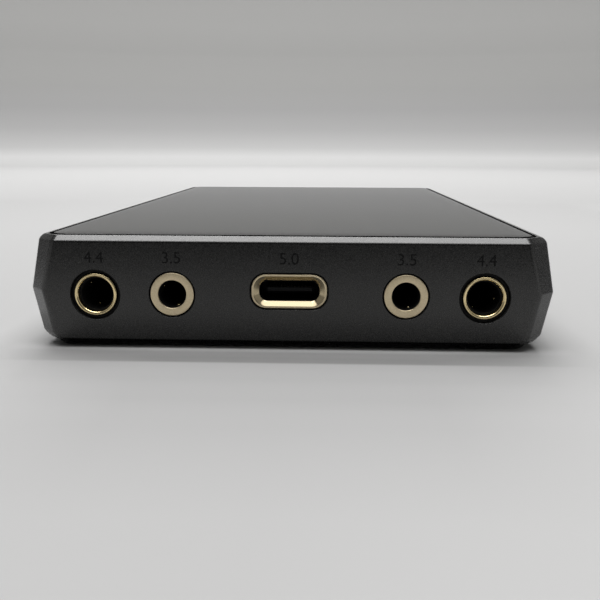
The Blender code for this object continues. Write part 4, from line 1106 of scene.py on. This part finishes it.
# %% Seat for the card, and pin hole
CARD_HALF, CARD_RADIUS = (7.65 * MM, 5.6 * MM), 0.6 * MM
CARD_WALL, CARD_DEEP = 1.0 * MM, 0.7 * MM
PIN_RADIUS, PIN_IN = 0.45 * MM, 1.3 * MM
middle = (blade_end - CARD_WALL - CARD_HALF[0], tray_y)
seat = block("seat", *CARD_HALF, CARD_RADIUS, blade_top - CARD_DEEP, ridge_z + 2 * OVERRUN, middle)
pin_y = tray_y - tray_half + PIN_IN
pin_ends = (-half_width - OVERRUN, -half_width + DOOR_THICK + OVERRUN)
bm = fresh_mesh()
skin(bm, [circle(bm, PIN_RADIUS, facing_right(x, pin_y, ridge_z)) for x in pin_ends])
carve(tray, [seat, as_object(bm, "pin_hole")], solver="MANIFOLD")
keep(tray, ANODISED, "card_tray", ["card_tray"])

# %% [markdown]
# ## Printed sizes
# Plain numbers above the jacks tell which plug fits, in millimetres, and the one above the
# charging socket tells its volts. Text is a curve in Blender, so it becomes a mesh first,
# its seams are merged, and it is then moved onto the panel, where it stands only a few
# micrometres proud, as printed ink does.

# %% Print the sizes
PRINT_HEIGHT = 2.3 * MM
PRINT_Z = 12.8 * MM
INK_THICK, PRINT_SEAM = 0.008 * MM, 0.001 * MM


def printed(name, text, x):
    curve = bpy.data.curves.new(name, "FONT")
    curve.body = text
    curve.size = PRINT_HEIGHT
    curve.align_x = "CENTER"
    curve.align_y = "CENTER"
    curve.extrude = INK_THICK
    drawn = bpy.data.objects.new(name + "_curve", curve)
    scene.collection.objects.link(drawn)
    graph = bpy.context.evaluated_depsgraph_get()
    mesh = bpy.data.meshes.new_from_object(drawn.evaluated_get(graph))
    bpy.data.objects.remove(drawn)
    bm = fresh_mesh()
    bm.from_mesh(mesh)
    bmesh.ops.remove_doubles(bm, verts=bm.verts, dist=PRINT_SEAM)
    bmesh.ops.transform(bm, matrix=facing_front(x, panel_y, PRINT_Z), verts=bm.verts)
    bpy.data.meshes.remove(mesh)
    piece = as_object(bm, name)
    piece.data.materials.append(INK)
    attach(piece, "housing")
    print("printed", text, "at x", round(x / MM, 1), "mm")


for jack in JACK_HOLES:
    printed("size_" + jack, ".".join(jack[-2:]), middle_of(jack + "_ring").x)
printed("charging_volts", "5.0", 0.0)

# %% [markdown]
# ## Table, backdrop and light
# The player lies on a pale table that sweeps up into a plain backdrop. The sweep goes all
# the way round, so every view has the same calm background. Its tone follows two lists, and
# both paint light and shade into it: one by height, for the backdrop, and one by the distance
# before the panel, for a painted soft shadow there and painted light at the player's foot.
# Lights alone could do that, but it takes many of them to match a real room. Three soft
# lights hang behind, above and in front. A dark card behind the camera keeps the socket
# panel deep grey, and cards beside and before the player give its slopes and its lower edge
# something to mirror; the two dark cards before it are painted shade, where the table lies
# in shadow. Only reflections see the cards, so they take no light from the table.

# %% Tones of the table and backdrop
# Each row: the height in metres, and the grey there, which holds painted light and shade along the backdrop.
SWEEP_GREY_AND_SHADE = (
    (0.0, 0.210), (0.012, 0.222), (0.024, 0.178), (0.05, 0.146), (0.08, 0.137), (0.11, 0.150),
    (0.155, 0.186), (0.20, 0.184), (0.24, 0.171), (0.30, 0.167),
)
# Each row: millimetres before the panel, and what is added to the factor of the grey there: painted light at
# the player's foot, then a painted shadow.
PAINTED_FRONT_SHADOW_AND_LIGHT = (
    (0.0, 0.76), (0.6, 0.64), (1.6, 0.18), (3.0, 0.01), (4.5, -0.20), (6.5, -0.30), (7.2, 0.13), (9.0, 0.05),
    (14.0, -0.10), (22.0, -0.19), (31.0, -0.165), (41.0, -0.09), (51.0, -0.02), (60.0, 0.0),
)


def tone_curve(tree, value, table, lift=0.0):
    """A grey that follows a table of (value, tone), all of its tones raised by a lift."""
    top = table[-1][0]
    ramp = place(tree, "ValToRGB", {"Fac": spread(tree, value, 0.0, 1.0, 0.0, top)})
    stops = ramp.color_ramp.elements
    while len(stops) < len(table):
        stops.new(0.5)
    for stop, (at, tone) in zip(stops, table):
        stop.position = at / top
        stop.color = (tone + lift, tone + lift, tone + lift, 1)
    return ramp.outputs["Color"]


print("tones:", len(SWEEP_GREY_AND_SHADE), "by height and", len(PAINTED_FRONT_SHADOW_AND_LIGHT), "before the panel")

# %% Finish of the table and backdrop
# A ramp holds no colour below zero, so the front tones are lifted in it and lowered after it.
TONE_LIFT = 0.4


def sweep_finish():
    """Pale card with painted light and shade: its tone follows the height, the distance, and a painted
    shadow before the panel.
    """
    material, tree, shader = start_finish("pale_sweep", Roughness=0.65, Specular_IOR_Level=0.05)
    point = object_point(tree)
    parts = place(tree, "SeparateXYZ", {"Vector": point}).outputs
    away = place(tree, "VectorMath", {0: point}, operation="LENGTH").outputs["Value"]
    across = place(tree, "Math", {0: parts["X"]}, operation="ABSOLUTE").outputs[0]
    ahead = plus(tree, times(tree, parts["Y"], -1 / MM), panel_y / MM)
    # Painted shadow before the panel, and painted light at the player's foot. It fades out to both sides of
    # the panel and stops under the player.
    shadow = plus(tree, tone_curve(tree, ahead, PAINTED_FRONT_SHADOW_AND_LIGHT, TONE_LIFT), -TONE_LIFT)
    shadow = times(tree, shadow, spread(tree, across, 1.0, 0.0, 0.018, 0.040))
    shadow = times(tree, shadow, spread(tree, ahead, 0.0, 1.0, -3.0, -1.0))
    # Painted light: in front the table is lighter towards the right.
    painted_light_rightward = spread(tree, parts["X"], 0.0, 0.17, 0.0, 0.05)
    tilt = times(tree, painted_light_rightward, spread(tree, ahead, 0.0, 1.0, 6.5, 60.0))
    # Painted light and shade: it dims a little round the player, and brightens again towards the backdrop.
    factor = spread(tree, away, 1.05, 0.955, 0.13, 0.28)
    for more in (spread(tree, away, 0.0, 0.165, 0.28, 0.75), shadow, tilt):
        factor = plus(tree, factor, more)
    high_up = spread(tree, parts["Z"], 0.0, 1.0, 0.08, 0.12)
    warm = blend(tree, high_up, (1, 0.996, 0.99, 1), (1, 0.996, 0.975, 1))
    # Painted light and shade by height, on the card's own grey.
    grey = tone_curve(tree, parts["Z"], SWEEP_GREY_AND_SHADE)
    toned = place(tree, "VectorMath", {0: grey, 1: warm}, operation="MULTIPLY").outputs["Vector"]
    toned = place(tree, "VectorMath", {0: toned, "Scale": factor}, operation="SCALE").outputs["Vector"]
    tree.links.new(toned, shader.inputs["Base Color"])
    return material


PALE_SWEEP = sweep_finish()
print("finish:", PALE_SWEEP.name)

# %% Sweep of the table and backdrop
SWEEP_RADIUS, SWEEP_HEIGHT, SWEEP_BEND, SWEEP_STEPS = 1.05, 1.5, 0.16, 160
SWEEP_DROP = 0.02 * MM


def pull(bm, edges, move):
    """Extrudes edges and moves the new ones away."""
    made = bmesh.ops.extrude_edge_only(bm, edges=edges)["geom"]
    new = [part for part in made if isinstance(part, bmesh.types.BMVert)]
    bmesh.ops.translate(bm, vec=move, verts=new)


bm = fresh_mesh()
bmesh.ops.create_circle(bm, cap_ends=True, radius=SWEEP_RADIUS, segments=SWEEP_STEPS)
base_ring = bm.edges[:]
pull(bm, base_ring, (0, 0, SWEEP_HEIGHT))
soften(bm, base_ring, SWEEP_BEND, 16)
bmesh.ops.translate(bm, vec=(0, 0, -SWEEP_DROP), verts=bm.verts)
sweep = as_object(bm, "sweep")
sweep.data.materials.append(PALE_SWEEP)
sweep.data.shade_smooth()
print("sweep of radius", SWEEP_RADIUS, "m")

# %% Dark card behind the camera
DARK_HALF, DARK_PLACE, DARK_TONE = (0.13, 0.05), (0, -0.174, 0.055), 0.02
FLAP_LEVEL, FLAP_MOVE = 0.006, (0, 0.046, -0.004)


def flat_card(half_u, half_v, where):
    bm = fresh_mesh()
    bmesh.ops.create_grid(bm, x_segments=1, y_segments=1, size=1.0)
    bmesh.ops.scale(bm, vec=(half_u, half_v, 1.0), verts=bm.verts)
    bmesh.ops.transform(bm, matrix=where, verts=bm.verts)
    return bm


def set_up(bm, name, tone):
    """Puts up a paper card that only reflections see."""
    paper = start_finish(name + "_paper", Roughness=0.8, Base_Color=(tone, tone, tone, 1))[0]
    card = as_object(bm, name)
    card.data.materials.append(paper)
    card.visible_camera = False
    card.visible_diffuse = False
    card.visible_shadow = False
    print("card", name, "of tone", tone)


bm = flat_card(*DARK_HALF, facing_front(*DARK_PLACE))
lower = [edge for edge in bm.edges if all(vert.co.z < FLAP_LEVEL for vert in edge.verts)]
pull(bm, lower, FLAP_MOVE)
set_up(bm, "dark_card", DARK_TONE)

# %% Cards beside and before the player
# Each card: name, half of its two sides, where it stands or lies, and its tone.
SIDE_CARDS = (
    ("left_card", (0.15, 0.045), facing_right(-0.34, 0.09, 0.046), 0.16),
    ("right_card", (0.15, 0.045), facing_right(0.15, 0.09, 0.046), 0.24),
    ("left_reflector", (0.077, 0.15), Matrix.Translation((-0.122, 0.08, 0.001)), 0.30),
    ("right_reflector", (0.040, 0.15), Matrix.Translation((0.085, 0.08, 0.001)), 0.23),
    # The foot card and the under card are painted shade: dark sheets that only reflections see, where the
    # table before and under the player's foot lies in shadow.
    ("painted_shade_foot_card", (0.034, 0.0075), Matrix.Translation((0, -0.0728, 0.0004)), 0.095),
    ("painted_shade_under_card", (0.0325, 0.0007), Matrix.Translation((0, -0.0646, 0.0004)), 0.0),
)
for name, half, where, tone in SIDE_CARDS:
    set_up(flat_card(*half, where), name, tone)

# %% Lights
def soft_light(name, where, size, power, aim=(0, 0, 0)):
    data = bpy.data.lights.new(name, "AREA")
    data.shape = "RECTANGLE"
    data.size, data.size_y = size
    data.energy = power
    lamp = bpy.data.objects.new(name, data)
    lamp.location = where
    direction = Vector(aim) - Vector(where)
    lamp.rotation_euler = direction.to_track_quat("-Z", "Y").to_euler()
    scene.collection.objects.link(lamp)
    print("light", name, power, "W")


soft_light("key_behind", (-0.05, 0.55, 0.80), (1.0, 1.1), 30.0, aim=(0, 0.3, 0))
soft_light("overhead", (0.0, -0.15, 1.25), (1.4, 0.34), 10.2)
soft_light("front_fill", (0.0, -0.60, 1.25), (1.5, 0.6), 5.8)
STUDIO_GREY = (0.26, 0.264, 0.268, 1)
world = bpy.data.worlds.new("studio")
world.use_nodes = True
world.node_tree.nodes["Background"].inputs["Color"].default_value = STUDIO_GREY
scene.world = world
